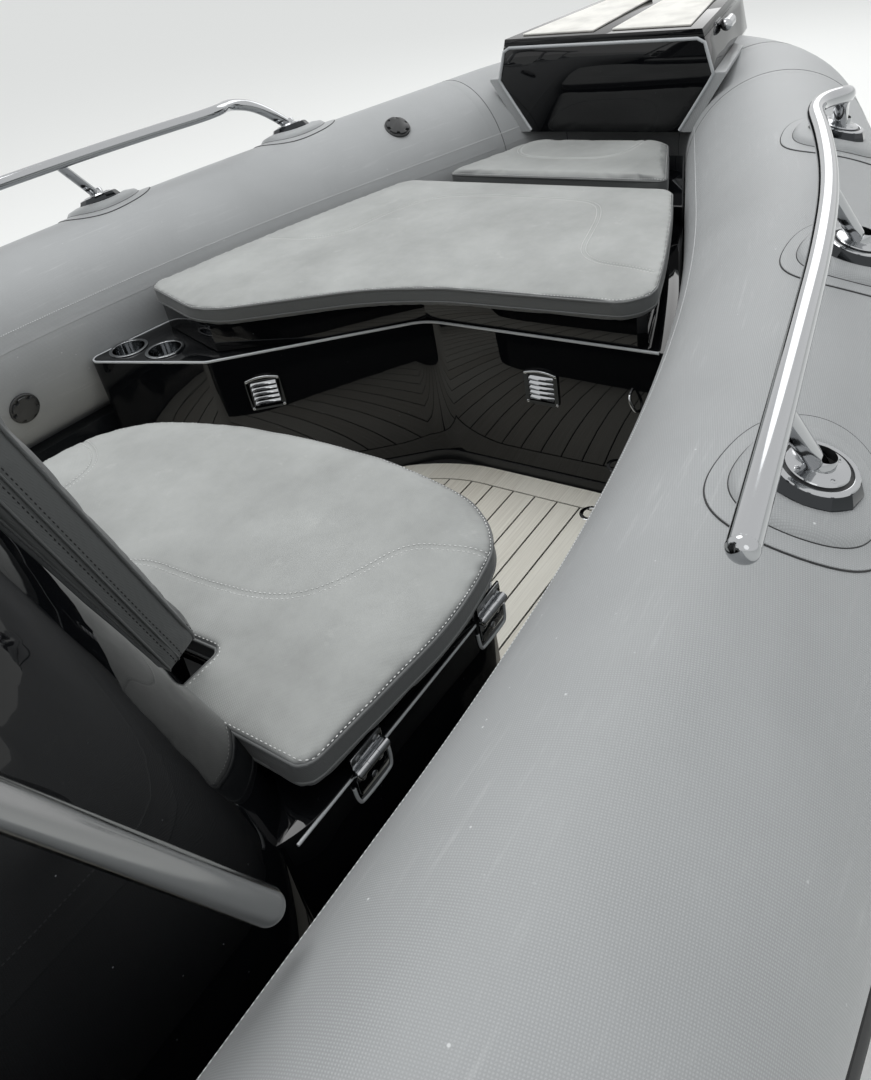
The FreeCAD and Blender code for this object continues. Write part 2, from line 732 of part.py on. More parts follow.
def make_bow_seating(hull):
    """Bow locker with its port wing, hinged lid, fixed deck, cushions, cups and vents."""
    inner = tube_radius + seam_gap
    edge = [bow_spot(back, share) for back, share in locker_edge]
    fwd = step_aft - 2
    region = [(edge[0][0], outside)] + edge + [(edge[-1][0], -outside), (fwd, -outside), (fwd, outside)]
    plan = prism(region, sole_z, locker_z)
    plan = rounded_at(rounded_at(plan, edge[1], locker_shoulder), edge[2], locker_nook)
    block = between_tubes(inner, bow_room_aft, sole_z, locker_z).common(plan)
    room = between_tubes(inner + locker_wall, bow_room_aft, sole_z, locker_z - locker_wall)
    hollow = [(x + locker_wall * 1.4, y) for x, y in edge]
    hollow = [(hollow[0][0], outside)] + hollow + [(hollow[-1][0], -outside), (fwd - locker_wall, -outside),
                                                   (fwd - locker_wall, outside)]
    block = block.cut(room.common(prism(hollow, sole_z, locker_z - locker_wall)))
    side = tube_radius + bow_cushion_inset
    low = locker_z - locker_mouth
    mouth = bow_plan(side + bow_lid_inset + locker_lip, bow_lid_inset + locker_lip,
                     bow_cushion_fwd - locker_lip, low, locker_z + 1)
    block = block.cut(mouth.common(prism(inset_points(region, locker_lip), low, locker_z + 1)))
    cups = [bow_spot(back, share) for back, share in cup_places]
    for x, y in cups:
        hole = Part.makeCylinder(cup_bore / 2 + cup_clear, 2 * cup_depth, V(x, y, locker_z - 1.5 * cup_depth))
        block = block.cut(hole)
    deck = between_tubes(inner, bow_room_aft, locker_z, bow_deck_z)
    deck = deck.common(box(bow_deck_aft, fwd, -outside, outside, locker_z, bow_deck_z))
    save("bow_locker", biggest(block.cut(hull), 1))
    save("bow_deck", deck)
    lid = bow_plan(side + bow_lid_inset, bow_lid_inset, bow_lid_fwd, locker_z + lid_gap, bow_lid_z)
    lid = lid.common(prism(inset_points(region, bow_lid_step), locker_z, bow_lid_z))
    pan = bow_plan(side + bow_lid_inset + bow_lid_wall, bow_lid_inset + bow_lid_wall,
                   bow_lid_fwd - bow_lid_wall, locker_z, bow_lid_z - bow_lid_wall)
    pan = pan.common(prism(inset_points(region, bow_lid_step + bow_lid_wall), locker_z, bow_lid_z))
    pins = [V(bow_lid_fwd + hinge_seat, y, bow_deck_z + hinge_seat) for y in (-bow_hinge_y, bow_hinge_y)]
    fixed, moving = hinges(pins, V(0, 1, 0), V(1, 0, 0), V(0, 0, -1), V(0, 0, -1), V(-1, 0, 0), leaf_height)
    save("bow_hinges", fixed)
    save("bow_lid", lid.cut(pan).multiFuse(moving))
    cushion = bow_plan(side, 0.0, bow_cushion_fwd, bow_lid_z + part_gap, bow_cushion_z)
    cushion = cushion.makeFillet(cushion_corner, vertical_edges(cushion))
    save("bow_cushion", cushion)
    small_fwd = step_aft - small_cushion_inset
    small = between_tubes(inner + small_cushion_inset, bow_room_aft, bow_deck_z + part_gap,
                          small_cushion_z)
    small = small.common(box(small_fwd - small_cushion_length, small_fwd, -tube_half, tube_half,
                             bow_deck_z, small_cushion_z))
    small = small.makeFillet(cushion_corner, vertical_edges(small))
    save("bow_small_cushion", small)
    parts = []
    for x, y in cups:
        cup = Part.makeCylinder(cup_bore / 2 + cup_wall, cup_depth, V(x, y, locker_z - cup_depth))
        cup = cup.fuse(Part.makeCylinder(cup_ring / 2, cup_rim, V(x, y, locker_z)))
        cup = cup.cut(Part.makeCylinder(cup_bore / 2, cup_depth, V(x, y, locker_z - cup_depth + cup_rim)))
        parts.append(cup)
    save("cup_holders", Part.makeCompound(parts))
    vents = []
    for share, z, start, end in vent_places:
        a = V(*bow_spot(*start), z)
        b = V(*bow_spot(*end), z)
        way = (a - b).normalize()
        out = V(0, 0, 1).cross(way)
        spot = a + (b - a) * share
        vents.append(vent_at(spot, way, out))
    save("locker_vents", Part.makeCompound(vents))


def vent_at(spot, way, out):
    """Square louvred vent standing on a wall."""
    size = vent_size
    plate = Part.makeBox(size, vent_depth, size, V(-size / 2, 0, -size / 2))
    half = vent_window / 2
    plate = plate.cut(Part.makeBox(vent_window, vent_depth, vent_window, V(-half, vent_back, -half)))
    for row in range(vent_blades):
        z = -half + (row + 0.5) * vent_window / vent_blades
        ring = [V(-half, depth, z + rise) for depth, rise in blade_line]
        blade = Part.Face(Part.makePolygon(ring + [ring[0]])).extrude(V(vent_window, 0, 0))
        plate = plate.fuse(blade)
    base = FreeCAD.Matrix(way.x, out.x, 0, spot.x,
                          way.y, out.y, 0, spot.y,
                          0, 0, 1, spot.z, 0, 0, 0, 1)
    plate.Placement = FreeCAD.Placement(base)
    return plate


def bow_plan(side, inset, fwd, z0, z1):
    """Plan of the main bow cushion, drawn in by an inset, from z0 to z1."""
    edge = [bow_spot(back, share) for back, share in bow_cushion_edge]
    tip, corner, last = edge[0], edge[1], edge[-1]
    lead = V(tip[0] - corner[0], tip[1] - corner[1], 0).normalize() * tube_half
    edge[0] = (tip[0] + lead.x, tip[1] + lead.y)
    edge += [(last[0], -tube_half), (fwd + inset, -tube_half), (fwd + inset, tube_half)]
    plan = prism(inset_points(edge, inset), z0, z1)
    return plan.common(between_tubes(side, bow_room_aft, z0, z1))


def rounded_at(solid, spot, radius):
    """Round the upright edge of a solid nearest to a plan point."""
    edges = vertical_edges(solid)
    away = [math.hypot(edge.BoundBox.XMin - spot[0], edge.BoundBox.YMin - spot[1]) for edge in edges]
    return solid.makeFillet(radius, [edges[away.index(min(away))]])


def inset_points(points, distance):
    """Polygon moved inwards by a distance, corner by corner."""
    count = len(points)
    area = sum(points[i][0] * points[(i + 1) % count][1] - points[(i + 1) % count][0] * points[i][1]
               for i in range(count))
    side = 1.0 if area > 0 else -1.0
    lines = []
    for i in range(count):
        (x0, y0), (x1, y1) = points[i], points[(i + 1) % count]
        length = math.hypot(x1 - x0, y1 - y0)
        dx, dy = (x1 - x0) / length, (y1 - y0) / length
        lines.append((x0 - dy * distance * side, y0 + dx * distance * side, dx, dy))
    moved = []
    for i in range(count):
        ax, ay, adx, ady = lines[i - 1]
        bx, by, bdx, bdy = lines[i]
        cross = adx * bdy - ady * bdx
        t = ((bx - ax) * bdy - (by - ay) * bdx) / cross
        moved.append((ax + adx * t, ay + ady * t))
    return moved


def step_ring(x, scale, grow=0.0):
    """Hexagonal section of the bow step at a station."""
    half = [(step_low_half, step_low_z), (step_mid_half, step_mid_z), (step_top_half, step_top_z)]
    port = [(y * scale + grow, z) for y, z in half]
    ring = port + [(-y, z) for y, z in reversed(port)]
    points = [V(x, y, z) for y, z in ring]
    return Part.makePolygon(points + [points[0]])


def make_bow_step(port):
    """Hexagonal anchor locker on the bow with its hinged stepping lid and collar."""
    outer = Part.makeLoft([step_ring(step_aft, 1.0), step_ring(step_fwd, step_nose_scale)], True, True)
    inner = Part.makeLoft([step_ring(step_aft + step_wall, 1.0, -step_wall),
                           step_ring(step_fwd - step_room_end, step_nose_scale + (1 - step_nose_scale)
                                     * step_room_end / step_length, -step_wall)], True, True)
    inner.translate(V(0, 0, step_wall))
    tubes = port.fuse(mirrored(port))
    lid_z = step_top_z - step_lid_thick
    shell = outer.cut(inner).cut(box(step_aft - 10, step_fwd + 10, -500, 500, lid_z, step_top_z + 50))
    shell = shell.cut(tubes)
    solids = sorted(shell.Solids, key=lambda part: part.Volume)
    save("bow_step", solids[-1])
    lid = outer.common(box(step_aft - 10, step_fwd + 10, -500, 500, lid_z + 1.0, step_top_z))
    pins = [V(step_fwd + hinge_seat, y, lid_z + 0.5) for y in (-step_hinge_y, step_hinge_y)]
    fixed, moving = hinges(pins, V(0, 1, 0), V(0, 0, -1), V(-1, 0, 0), V(0, 0, 1), V(-1, 0, 0), step_leaf)
    save("bow_step_hinges", fixed)
    save("bow_step_lid", lid.multiFuse(moving))
    pads = []
    for side in (1, -1):
        scale = step_nose_scale + (1 - step_nose_scale) * pad_fwd / step_length
        aft, fwd = step_aft + pad_aft, step_fwd - pad_fwd
        plan = [(aft, side * pad_split), (aft, side * (step_top_half - pad_side)),
                (fwd, side * (step_top_half * scale - pad_side)), (fwd, side * pad_split)]
        pads.append(prism(plan, step_top_z, step_top_z + pad_thick))
    save("step_pads", Part.makeCompound(pads))
    wide = Part.makeLoft([step_ring(step_aft, 1.0, collar_width),
                          step_ring(step_fwd, step_nose_scale, collar_width)], True, True)
    bed = Part.makeLoft([step_ring(step_aft, 1.0, collar_gap),
                         step_ring(step_fwd, step_nose_scale, collar_gap)], True, True)
    collar = wide.cut(bed).cut(tubes)
    collar = collar.common(box(step_aft, step_fwd, -tube_half, tube_half, step_low_z, collar_top_z))
    save("bow_collar", biggest(collar, 2))
    save("bow_fittings", Part.makeCompound(step_fittings()))


def biggest(shape, count):
    """The largest solids of a shape."""
    solids = sorted(shape.Solids, key=lambda part: part.Volume)
    return Part.makeCompound(solids[-count:])


def step_fittings():
    """Navigation lights on the step's shoulders."""
    x = step_aft + step_length * light_place
    scale = 1 + (step_nose_scale - 1) * light_place
    z = step_top_z - step_lid_thick - light_radius
    widen = (step_mid_half - step_top_half) / (step_top_z - step_mid_z)
    half = scale * (step_top_half + widen * (step_top_z - z))
    narrow = (1 - step_nose_scale) * half / scale / step_length
    out = V(narrow, 1, widen * scale).normalize()
    along = V(1, -narrow, 0).normalize()
    spot = V(x, half, z) + out * (light_radius + part_gap)
    lamp = Part.makeCylinder(light_radius, light_length, spot - along * (light_length / 2), along)
    for end in (-1, 1):
        lamp = lamp.fuse(Part.makeSphere(light_radius, spot + along * (end * light_length / 2)))
    return [lamp, mirrored(lamp)]


def make_rails(port):
    """Stainless grab rails on their moulded bases, and the inflation valves."""
    spots = [tube_spot(x, base_angle) for x in rail_bases]
    skin = tube_body(tube_radius + patch_thick)
    patches = []
    sockets = []
    parts = []
    for x, (spot, out) in zip(rail_bases, spots):
        column = Part.makeCylinder(patch_dia / 2, 120, spot - out * 60, out)
        patches.append(column.common(skin).cut(port))
        seat = spot + out * patch_thick
        ring = Part.makeCone(base_dia / 2, base_top_dia / 2, base_height + base_bury,
                             seat - out * base_bury, out)
        sockets.append(ring.cut(skin))
        top = seat + out * base_height
        disc = Part.makeCylinder(disc_dia / 2, disc_thick, top, out)
        parts.append(disc)
    line = [V(x, tube_half_at(x) + out, rail_z) for x, out in rail_points]
    foot_f = spots[2][0] + spots[2][1] * (patch_thick + base_height + disc_thick)
    line.append(V(foot_f.x, foot_f.y, foot_f.z))
    rail = bent_tube(line, rail_dia)
    rail = rail.fuse(Part.makeSphere(rail_dia / 2, line[0]))
    for x, (spot, out) in list(zip(rail_bases, spots))[:2]:
        foot = spot + out * (patch_thick + base_height + disc_thick - 2)
        top_x = x - rail_lean
        rail = rail.fuse(rod(foot, V(top_x, rail_y_at(top_x), rail_z), post_dia))
    rail = rail.multiFuse(parts)
    rail = rail.cut(Part.makeCompound(sockets))
    save("grab_rail_port", rail)
    save("grab_rail_starboard", mirrored(rail))
    save("rail_patches", Part.makeCompound(patches + [mirrored(p) for p in patches]))
    save("rail_bases", Part.makeCompound(sockets + [mirrored(s) for s in sockets]))
    valves = []
    for x, angle, side in valve_places:
        spot, out = tube_spot(x, angle)
        cap = Part.makeCylinder(valve_dia / 2, valve_height + valve_bury, spot - out * valve_bury, out)
        cap = cap.cut(port)
        valves.append(cap if side > 0 else mirrored(cap))
    save("tube_valves", Part.makeCompound(valves))


def rail_y_at(x):
    """Half beam of the rail's top run at a station."""
    for (x0, out0), (x1, out1) in zip(rail_points, rail_points[1:]):
        if x0 <= x <= x1:
            y0 = tube_half_at(x0) + out0
            return y0 + (tube_half_at(x1) + out1 - y0) * (x - x0) / (x1 - x0)
    return tube_half_at(x) + rail_points[-1][1]


def make_console():
    """Console body, offset to starboard, with the front seat's box in one moulding."""
    y0, y1 = console_y - console_half, console_y + console_half
    low = Part.Face(rounded_plan(console_aft, console_front, y0, y1, console_radius, sole_z))
    low = low.extrude(V(0, 0, console_knee_z - sole_z))
    t0, t1 = console_y - console_top_half, console_y + console_top_half
    high = Part.makeLoft([rounded_plan(console_aft, console_front, y0, y1, console_radius, console_knee_z),
                          rounded_plan(console_top_aft, console_top_front, t0, t1, console_top_corner,
                                       console_top_z)], True, True)
    body = low.fuse(high)
    y0, y1 = seat_y - seat_box_half, seat_y + seat_box_half
    outer = Part.Face(rounded_plan(console_front - seat_box_lap, seat_box_front, y0, y1, seat_box_corner,
                                   sole_z))
    outer = outer.extrude(V(0, 0, seat_rim_z - sole_z))
    wall = seat_box_wall
    room = Part.Face(rounded_plan(console_front + wall, seat_box_front - wall, y0 + wall, y1 - wall,
                                  seat_room_corner, sole_z + wall))
    room = room.extrude(V(0, 0, seat_rim_z))
    save("console", body)
    save("seat_box", outer.cut(body).cut(room))
    return body


def console_room():
    """The console's front with its clearance, cut from the seat."""
    y0, y1 = console_y - console_half, console_y + console_half
    grown = rounded_plan(console_aft, console_front + seat_gap, y0 - seat_gap, y1 + seat_gap,
                         console_radius, seat_rim_z - 10)
    return Part.Face(grown).extrude(V(0, 0, 200))


def plan_seat(aft, front, half, corner, z0, z1):
    """D-shaped seat plan with a bowed front, pulled up from z0 to z1."""
    y0, y1 = seat_y - half, seat_y + half
    bow = seat_bow
    a = V(aft, y0 + seat_taper, z0)
    b = V(front - bow - corner * 0.75, y0, z0)
    c = V(front - bow, y0 + corner * 0.75, z0)
    d = V(front, (y0 + y1) / 2, z0)
    e = V(front - bow, y1 - corner * 0.75, z0)
    f = V(front - bow - corner * 0.75, y1, z0)
    g = V(aft, y1 - seat_taper, z0)
    k = corner * 0.75 * (1 - math.sqrt(0.5))
    edges = [Part.LineSegment(a, b).toShape(),
             Part.Arc(b, V(front - bow - k, y0 + k, z0), c).toShape(),
             Part.Arc(c, d, e).toShape(),
             Part.Arc(e, V(front - bow - k, y1 - k, z0), f).toShape(),
             Part.LineSegment(f, g).toShape(),
             Part.LineSegment(g, a).toShape()]
    return Part.Face(Part.Wire(edges)).extrude(V(0, 0, z1 - z0))


def make_front_seat(console):
    """Front seat lid, hinged on its starboard side, with its cushion and the backrest."""
    room = console_room()
    inset = seat_pan_inset
    front = seat_cushion_front - seat_lid_inset
    lid = plan_seat(console_front + seat_gap + 4, front, seat_box_half, seat_corner, seat_rim_z + lid_gap,
                    seat_lid_z)
    pan = plan_seat(console_front + seat_gap + inset, front - inset, seat_box_half - inset, seat_corner,
                    seat_rim_z, seat_lid_z - seat_lid_wall)
    pins = [V(x, seat_y - seat_box_half - hinge_seat, seat_rim_z + lid_gap / 2) for x in seat_hinge_x]
    fixed, moving = hinges(pins, V(1, 0, 0), V(0, 0, -1), V(0, 1, 0), V(0, 0, 1), V(0, 1, 0), seat_leaf)
    save("seat_hinges", fixed)
    nook = box(0, console_front + back_room, console_y - back_width / 2 - seat_gap,
               console_y + back_width / 2 + seat_gap + back_swing, seat_rim_z, back_high_z)
    save("seat_lid", lid.cut(pan).cut(room).cut(nook).multiFuse(moving))
    cushion = plan_seat(seat_cushion_aft, seat_cushion_front, seat_cushion_half, seat_corner,
                        seat_lid_z + part_gap, seat_cushion_z)
    save("seat_cushion", cushion.cut(room).cut(nook))
    lean = math.radians(back_lean)
    low = V(console_front - (back_low_z - console_knee_z) * math.tan(lean) + part_gap, 0, back_low_z)
    height = (back_high_z - back_low_z) / math.cos(lean)
    pad = Part.makeBox(back_thick, back_width, height, V(low.x, console_y - back_width / 2, low.z))
    pad = pad.makeFillet(back_round, pad.Edges)
    pad = turned(pad, low, V(0, 1, 0), -back_lean)
    save("seat_backrest", pad)
    for name, side in (("console_rail_starboard", -1), ("console_rail_port", 1)):
        line = [V(x, console_y + side * y, z) for x, y, z in console_rail_points]
        rail = bent_tube(line, console_rail_dia).fuse(Part.makeSphere(console_rail_dia / 2, line[0]))
        joint = line[0] + (line[1] - line[0]) * console_foot_share
        dx, y, dz = console_foot
        rail = rail.fuse(rod(joint, V(joint.x + dx, console_y + side * y, joint.z + dz), post_dia))
        save(name, rail.cut(console))


def screen_face(x, half, z):
    """Curved strip in plan for the windscreen, from its front point."""
    y = console_y
    back = x - screen_depth
    t = screen_thick
    outer = Part.Arc(V(back, y - half, z), V(x, y, z), V(back, y + half, z)).toShape()
    inner = Part.Arc(V(back, y + half - t, z), V(x - t, y, z), V(back, y - half + t, z)).toShape()
    ends = [Part.LineSegment(V(back, y + half, z), V(back, y + half - t, z)).toShape(),
            Part.LineSegment(V(back, y - half + t, z), V(back, y - half, z)).toShape()]
    return Part.Wire([outer, ends[0], inner, ends[1]])


def make_dash():
    """Dash pod on the console's top with a plotter and gauges, and the throttle beside it."""
    ring = [(x, console_top_z + part_gap + z) for x, z in dash_profile]
    pod = side_prism(ring, console_y - dash_half, console_y + dash_half)
    pod = pod.makeFillet(back_corner, side_edges(pod))
    save("dash", pod)
    foot = V(ring[0][0], console_y, ring[0][1])
    top = V(ring[1][0], console_y, ring[1][1])
    up = (top - foot).normalize()
    out = V(-up.z, 0, up.x)
    middle = (foot + top) / 2
    corner = middle - up * (plotter_height / 2) - V(0, plotter_width / 2, 0) + out * part_gap
    parts = [slab(corner, V(0, plotter_width, 0), up * plotter_height, out * plotter_thick)]
    for side in (-1, 1):
        for row in (-0.5, 0.5):
            spot = middle + V(0, side * gauge_side, 0) + up * (row * gauge_pitch) + out * part_gap
            parts.append(Part.makeCylinder(gauge_dia / 2, gauge_thick, spot, out))
    save("dash_screens", Part.makeCompound(parts))
    x, y, z = throttle_x, console_y - throttle_side, console_top_z + part_gap
    body = box(x - throttle_length / 2, x + throttle_length / 2, y - throttle_width / 2,
               y + throttle_width / 2, z, z + throttle_height)
    body = body.makeFillet(back_corner / 2, vertical_edges(body))
    base = V(x, y, z + throttle_height - lever_dia)
    lean = math.radians(lever_lean)
    tip = base + V(-math.sin(lean), 0, math.cos(lean)) * lever_length
    body = body.fuse(rod(base, tip, lever_dia))
    body = body.fuse(rod(tip - V(0, grip_length / 2, 0), tip + V(0, grip_length / 2, 0), grip_dia))
    save("throttle", body)


def side_edges(shape):
    """Edges along the boat's beam that lie above the shape's foot."""
    low = shape.BoundBox.ZMin
    found = []
    for edge in shape.Edges:
        a, b = edge.Vertexes[0].Point, edge.Vertexes[-1].Point
        if abs(a.y - b.y) > 1.0 and abs(a.x - b.x) < 0.01 and a.z > low + 1.0:
            found.append(edge)
    return found


def back_frame(x, y0, y1, low, top_z):
    """Bar bent into a hoop behind a backrest; low holds the hoop's feet on one side."""
    port = [V(px, y0, pz) for px, pz in low] + [V(x, y0, top_z)]
    return bent_tube(port + [V(p.x, y1, p.z) for p in reversed(port)], frame_dia)


def make_helm(console):
    """Windscreen, dash, steering wheel and throttle."""
    z = console_top_z
    front = console_top_front - screen_set
    screen = Part.makeLoft([screen_face(front, screen_side, z + part_gap),
                            screen_face(front - screen_lean, screen_top_side, z + screen_height)],
                           True, True)
    save("windscreen", screen)
    make_dash()
    hub = V(wheel_hub_x, console_y, wheel_hub_z)
    lean = math.radians(wheel_lean)
    axis = V(-math.cos(lean), 0, math.sin(lean))
    reach = wheel_dia / 2 - wheel_rim / 2
    rim = Part.makeTorus(reach, wheel_rim / 2, hub, axis)
    boss = Part.makeCylinder(wheel_boss / 2, wheel_boss_length, hub - axis * (wheel_boss_length / 2), axis)
    wheel = rim.fuse(boss)
    across = V(0, 1, 0)
    up = axis.cross(across).normalize()
    if up.z < 0:
        up = up * -1
    for angle in (90.0, 210.0, 330.0):
        a = math.radians(angle)
        way = across * math.cos(a) + up * math.sin(a)
        wheel = wheel.fuse(rod(hub, hub + way * reach, wheel_spoke))
    save("steering_wheel", wheel)
    foot = hub - axis * (wheel_boss_length / 2 + part_gap)
    column = Part.makeCylinder(column_dia / 2, column_length, foot - axis * column_length, axis)
    save("helm_column", column.cut(console))


def make_helm_seat():
    """Helm seat pod with cushion, and its backrest on a hoop."""
    y0, y1 = console_y - helm_seat_half, console_y + helm_seat_half
    inset = helm_pod_inset
    pod = Part.Face(rounded_plan(helm_seat_aft + inset, helm_seat_front - inset * 1.5, y0 + inset, y1 - inset,
                                 helm_corner - 10, sole_z))
    pod = pod.extrude(V(0, 0, helm_seat_z - sole_z))
    save("helm_seat_pod", pod)
    seat = Part.Face(rounded_plan(helm_seat_aft, helm_seat_front, y0, y1, helm_corner,
                                  helm_seat_z + part_gap))
    save("helm_cushion", seat.extrude(V(0, 0, helm_cushion_thick)))
    x = helm_seat_aft
    back_z = helm_seat_z + helm_cushion_thick + 2 * part_gap
    back = box(x, x + helm_back_thick, y0 + helm_back_inset, y1 - helm_back_inset, back_z, helm_back_top)
    save("helm_backrest", back.makeFillet(back_corner, vertical_edges(back)))
    post_x = helm_seat_aft - frame_dia / 2 - part_gap
    feet = ((helm_seat_aft + inset, helm_frame_z), (post_x, helm_frame_z))
    hoop = back_frame(post_x, y0 + frame_inset, y1 - frame_inset, feet, helm_frame_top_z)
    save("helm_seat_frame", hoop.cut(pod))


def make_stern():
    """Stern bench with its front hatch, and the engine well behind it."""
    bench = box(bench_aft, bench_front, -bench_half, bench_half, sole_z, bench_z)
    wall = bench_wall
    room = box(bench_aft + wall, bench_front - door_thick, -bench_half + wall, bench_half - wall,
               sole_z + wall, bench_z - wall)
    gap = door_gap
    mouth = box(bench_front - 100, bench_front + 1, -door_half - gap, door_half + gap, door_low_z - gap,
                door_high_z + gap)
    save("stern_bench", bench.cut(room).cut(mouth))
    door = box(bench_front - door_thick, bench_front, -door_half, door_half, door_low_z, door_high_z)
    heights = (door_low_z + door_hinge_z, door_high_z - door_hinge_z)
    pins = [V(bench_front + hinge_seat, -door_half - gap / 2, z) for z in heights]
    fixed, moving = hinges(pins, V(0, 0, 1), V(0, -1, 0), V(-1, 0, 0), V(0, 1, 0), V(-1, 0, 0), leaf_height)
    save("bench_hinges", fixed)
    save("bench_hatch", door.multiFuse(moving))
    cushion = box(bench_aft + bench_cushion_aft, bench_front + bench_cushion_lap, -bench_half, bench_half,
                  bench_z + part_gap, bench_z + bench_cushion_thick)
    save("bench_cushion", cushion.makeFillet(back_corner, vertical_edges(cushion)))
    half = bench_half - bench_back_inset
    back = box(bench_aft + 2, bench_aft + 2 + bench_back_thick, -half, half,
               bench_z + bench_cushion_thick + 2 * part_gap, bench_back_top_z)
    save("bench_backrest", back.makeFillet(back_corner, vertical_edges(back)))
    post_x = bench_aft + 2 - frame_dia / 2 - part_gap
    hoop = back_frame(post_x, -bench_frame_half, bench_frame_half, ((post_x, bench_z + part_gap),),
                      bench_frame_top_z)
    save("bench_frame", hoop)
    x0 = transom_x + transom_thick
    tray = box(x0, bench_aft, -bench_half, bench_half, sole_z - sole_thick, bench_z)
    tray = tray.cut(box(x0 - 1, bench_aft - well_wall, -bench_half + well_wall, bench_half - well_wall,
                        well_floor_z, bench_z + 1))
    tray = tray.cut(box(x0 - 1, bench_aft - well_wall, -transom_notch_half, transom_notch_half,
                        transom_top_z, bench_z + 1))
    save("engine_well", tray)


def make_outboard():
    """Outboard: clamp bracket, swivel, leg, gearcase, cowl, engine block and propeller."""
    face_x = transom_x - part_gap
    plates = []
    for side in (1, -1):
        ring = [(face_x, clamp_high_z), (face_x, clamp_low_z), (tilt_x + 20, clamp_low_z),
                (tilt_x - 40, tilt_z - 45), (tilt_x - 40, clamp_high_z)]
        plates.append(side_prism(ring, side * clamp_side, side * (clamp_side + clamp_thick)))
    bracket = plates[0].fuse(plates[1])
    pin_half = clamp_side + clamp_thick + 18
    bracket = bracket.fuse(rod(V(tilt_x, -pin_half, tilt_z), V(tilt_x, pin_half, tilt_z), tilt_dia))
    hook = box(face_x, transom_x + transom_thick, -clamp_side - clamp_thick, clamp_side + clamp_thick,
               transom_top_z + part_gap, transom_top_z + clamp_hook)
    save("engine_bracket", bracket.fuse(hook))

    arm = side_prism([(tilt_x - 25, tilt_z + 28), (tilt_x + 24, tilt_z + 10), (tilt_x + 24, tilt_z - 26),
                      (steer_x + 30, swivel_low_z), (steer_x + 5, swivel_low_z), (steer_x + 5, swivel_high_z),
                      (steer_x + 25, swivel_high_z)], -swivel_half, swivel_half)
    arm = arm.fuse(Part.makeCylinder(swivel_dia / 2, swivel_high_z - swivel_low_z,
                                     V(steer_x, 0, swivel_low_z)))
    arm = arm.cut(rod(V(tilt_x, -90, tilt_z), V(tilt_x, 90, tilt_z), tilt_dia + 2 * bearing_play))
    arm = arm.cut(Part.makeCylinder(steer_dia / 2 + bearing_play, 600, V(steer_x, 0, swivel_low_z - 160)))
    save("engine_swivel", arm)

    sections = [rounded_plan(aft, front, -half, half, half * 0.9, z) for z, front, aft, half in leg_sections]
    leg = Part.makeLoft(sections, True, True)
    post = Part.makeCylinder(steer_dia / 2, arm_top_z - yoke_high_z, V(steer_x, 0, yoke_high_z - 4))
    arm_aft = leg_sections[0][1] - 112
    top_arm = box(arm_aft, steer_x + 25, -arm_half, arm_half, arm_top_z - arm_thick, arm_top_z)
    low_arm = box(arm_aft, steer_x + 25, -yoke_half, yoke_half, yoke_high_z - yoke_thick, yoke_high_z)
    save("engine_leg", leg.fuse(post).fuse(top_arm).fuse(low_arm))

    plan = list(plate_plan) + [(x, -y) for x, y in reversed(plate_plan)]
    plate = prism(plan, plate_z, plate_z + plate_thick)
    strut = Part.makeLoft([airfoil(*strut_top, plate_z), airfoil(*strut_foot, prop_z)], True, True)
    length = torpedo_nose - torpedo_aft
    line = [V(torpedo_aft + share * length, 0, prop_z + out * torpedo_radius) for share, out in torpedo_line]
    curve = Part.BSplineCurve()
    curve.interpolate(line)
    back = Part.LineSegment(V(torpedo_aft, 0, prop_z), line[0]).toShape()
    middle = Part.LineSegment(line[-1], V(torpedo_aft, 0, prop_z)).toShape()
    bullet = Part.Face(Part.Wire([back, curve.toShape(), middle])).revolve(V(0, 0, prop_z), V(1, 0, 0), 360)
    shaft = Part.makeCylinder(prop_shaft, prop_shaft_length,
                              V(torpedo_aft - prop_shaft_length, 0, prop_z), V(1, 0, 0))
    a, b, c, d = skeg_line
    root = prop_z - torpedo_radius / 2
    skeg = side_prism([(a, root), (b, skeg_z), (c, skeg_z), (d, root)], -skeg_thick / 2, skeg_thick / 2)
    save("gearcase", plate.fuse(strut).fuse(bullet).fuse(shaft).fuse(skeg))
    save("propeller", propeller())

    save("cowl_lower", Part.makeLoft([cowl_ring(*row) for row in pan_sections], True, True))
    outer = Part.makeLoft([cowl_ring(*row) for row in cowl_sections], True, True)
    wall = cowl_wall
    inner = Part.makeLoft([cowl_ring(z - (wall if z == cowl_sections[-1][0] else 0), front - wall, aft + wall,
                                     half - wall) for z, front, aft, half in cowl_sections], True, True)
    save("cowl", outer.cut(inner))
    save("engine_block", box(block_low[0], block_high[0], block_low[1], block_high[1], cowl_sections[0][0],
                             block_top_z))


def airfoil(front, aft, half, z):
    """Pointed oval section of the leg."""
    mid = (front * 0.6 + aft * 0.4)
    return Part.Wire([Part.Arc(V(front, 0, z), V(mid, half, z), V(aft, 0, z)).toShape(),
                      Part.Arc(V(aft, 0, z), V(mid, -half, z), V(front, 0, z)).toShape()])


def cowl_ring(z, front, aft, half):
    """Rounded section of the cowl."""
    return rounded_plan(aft, front, -half, half, half * cowl_corner, z)


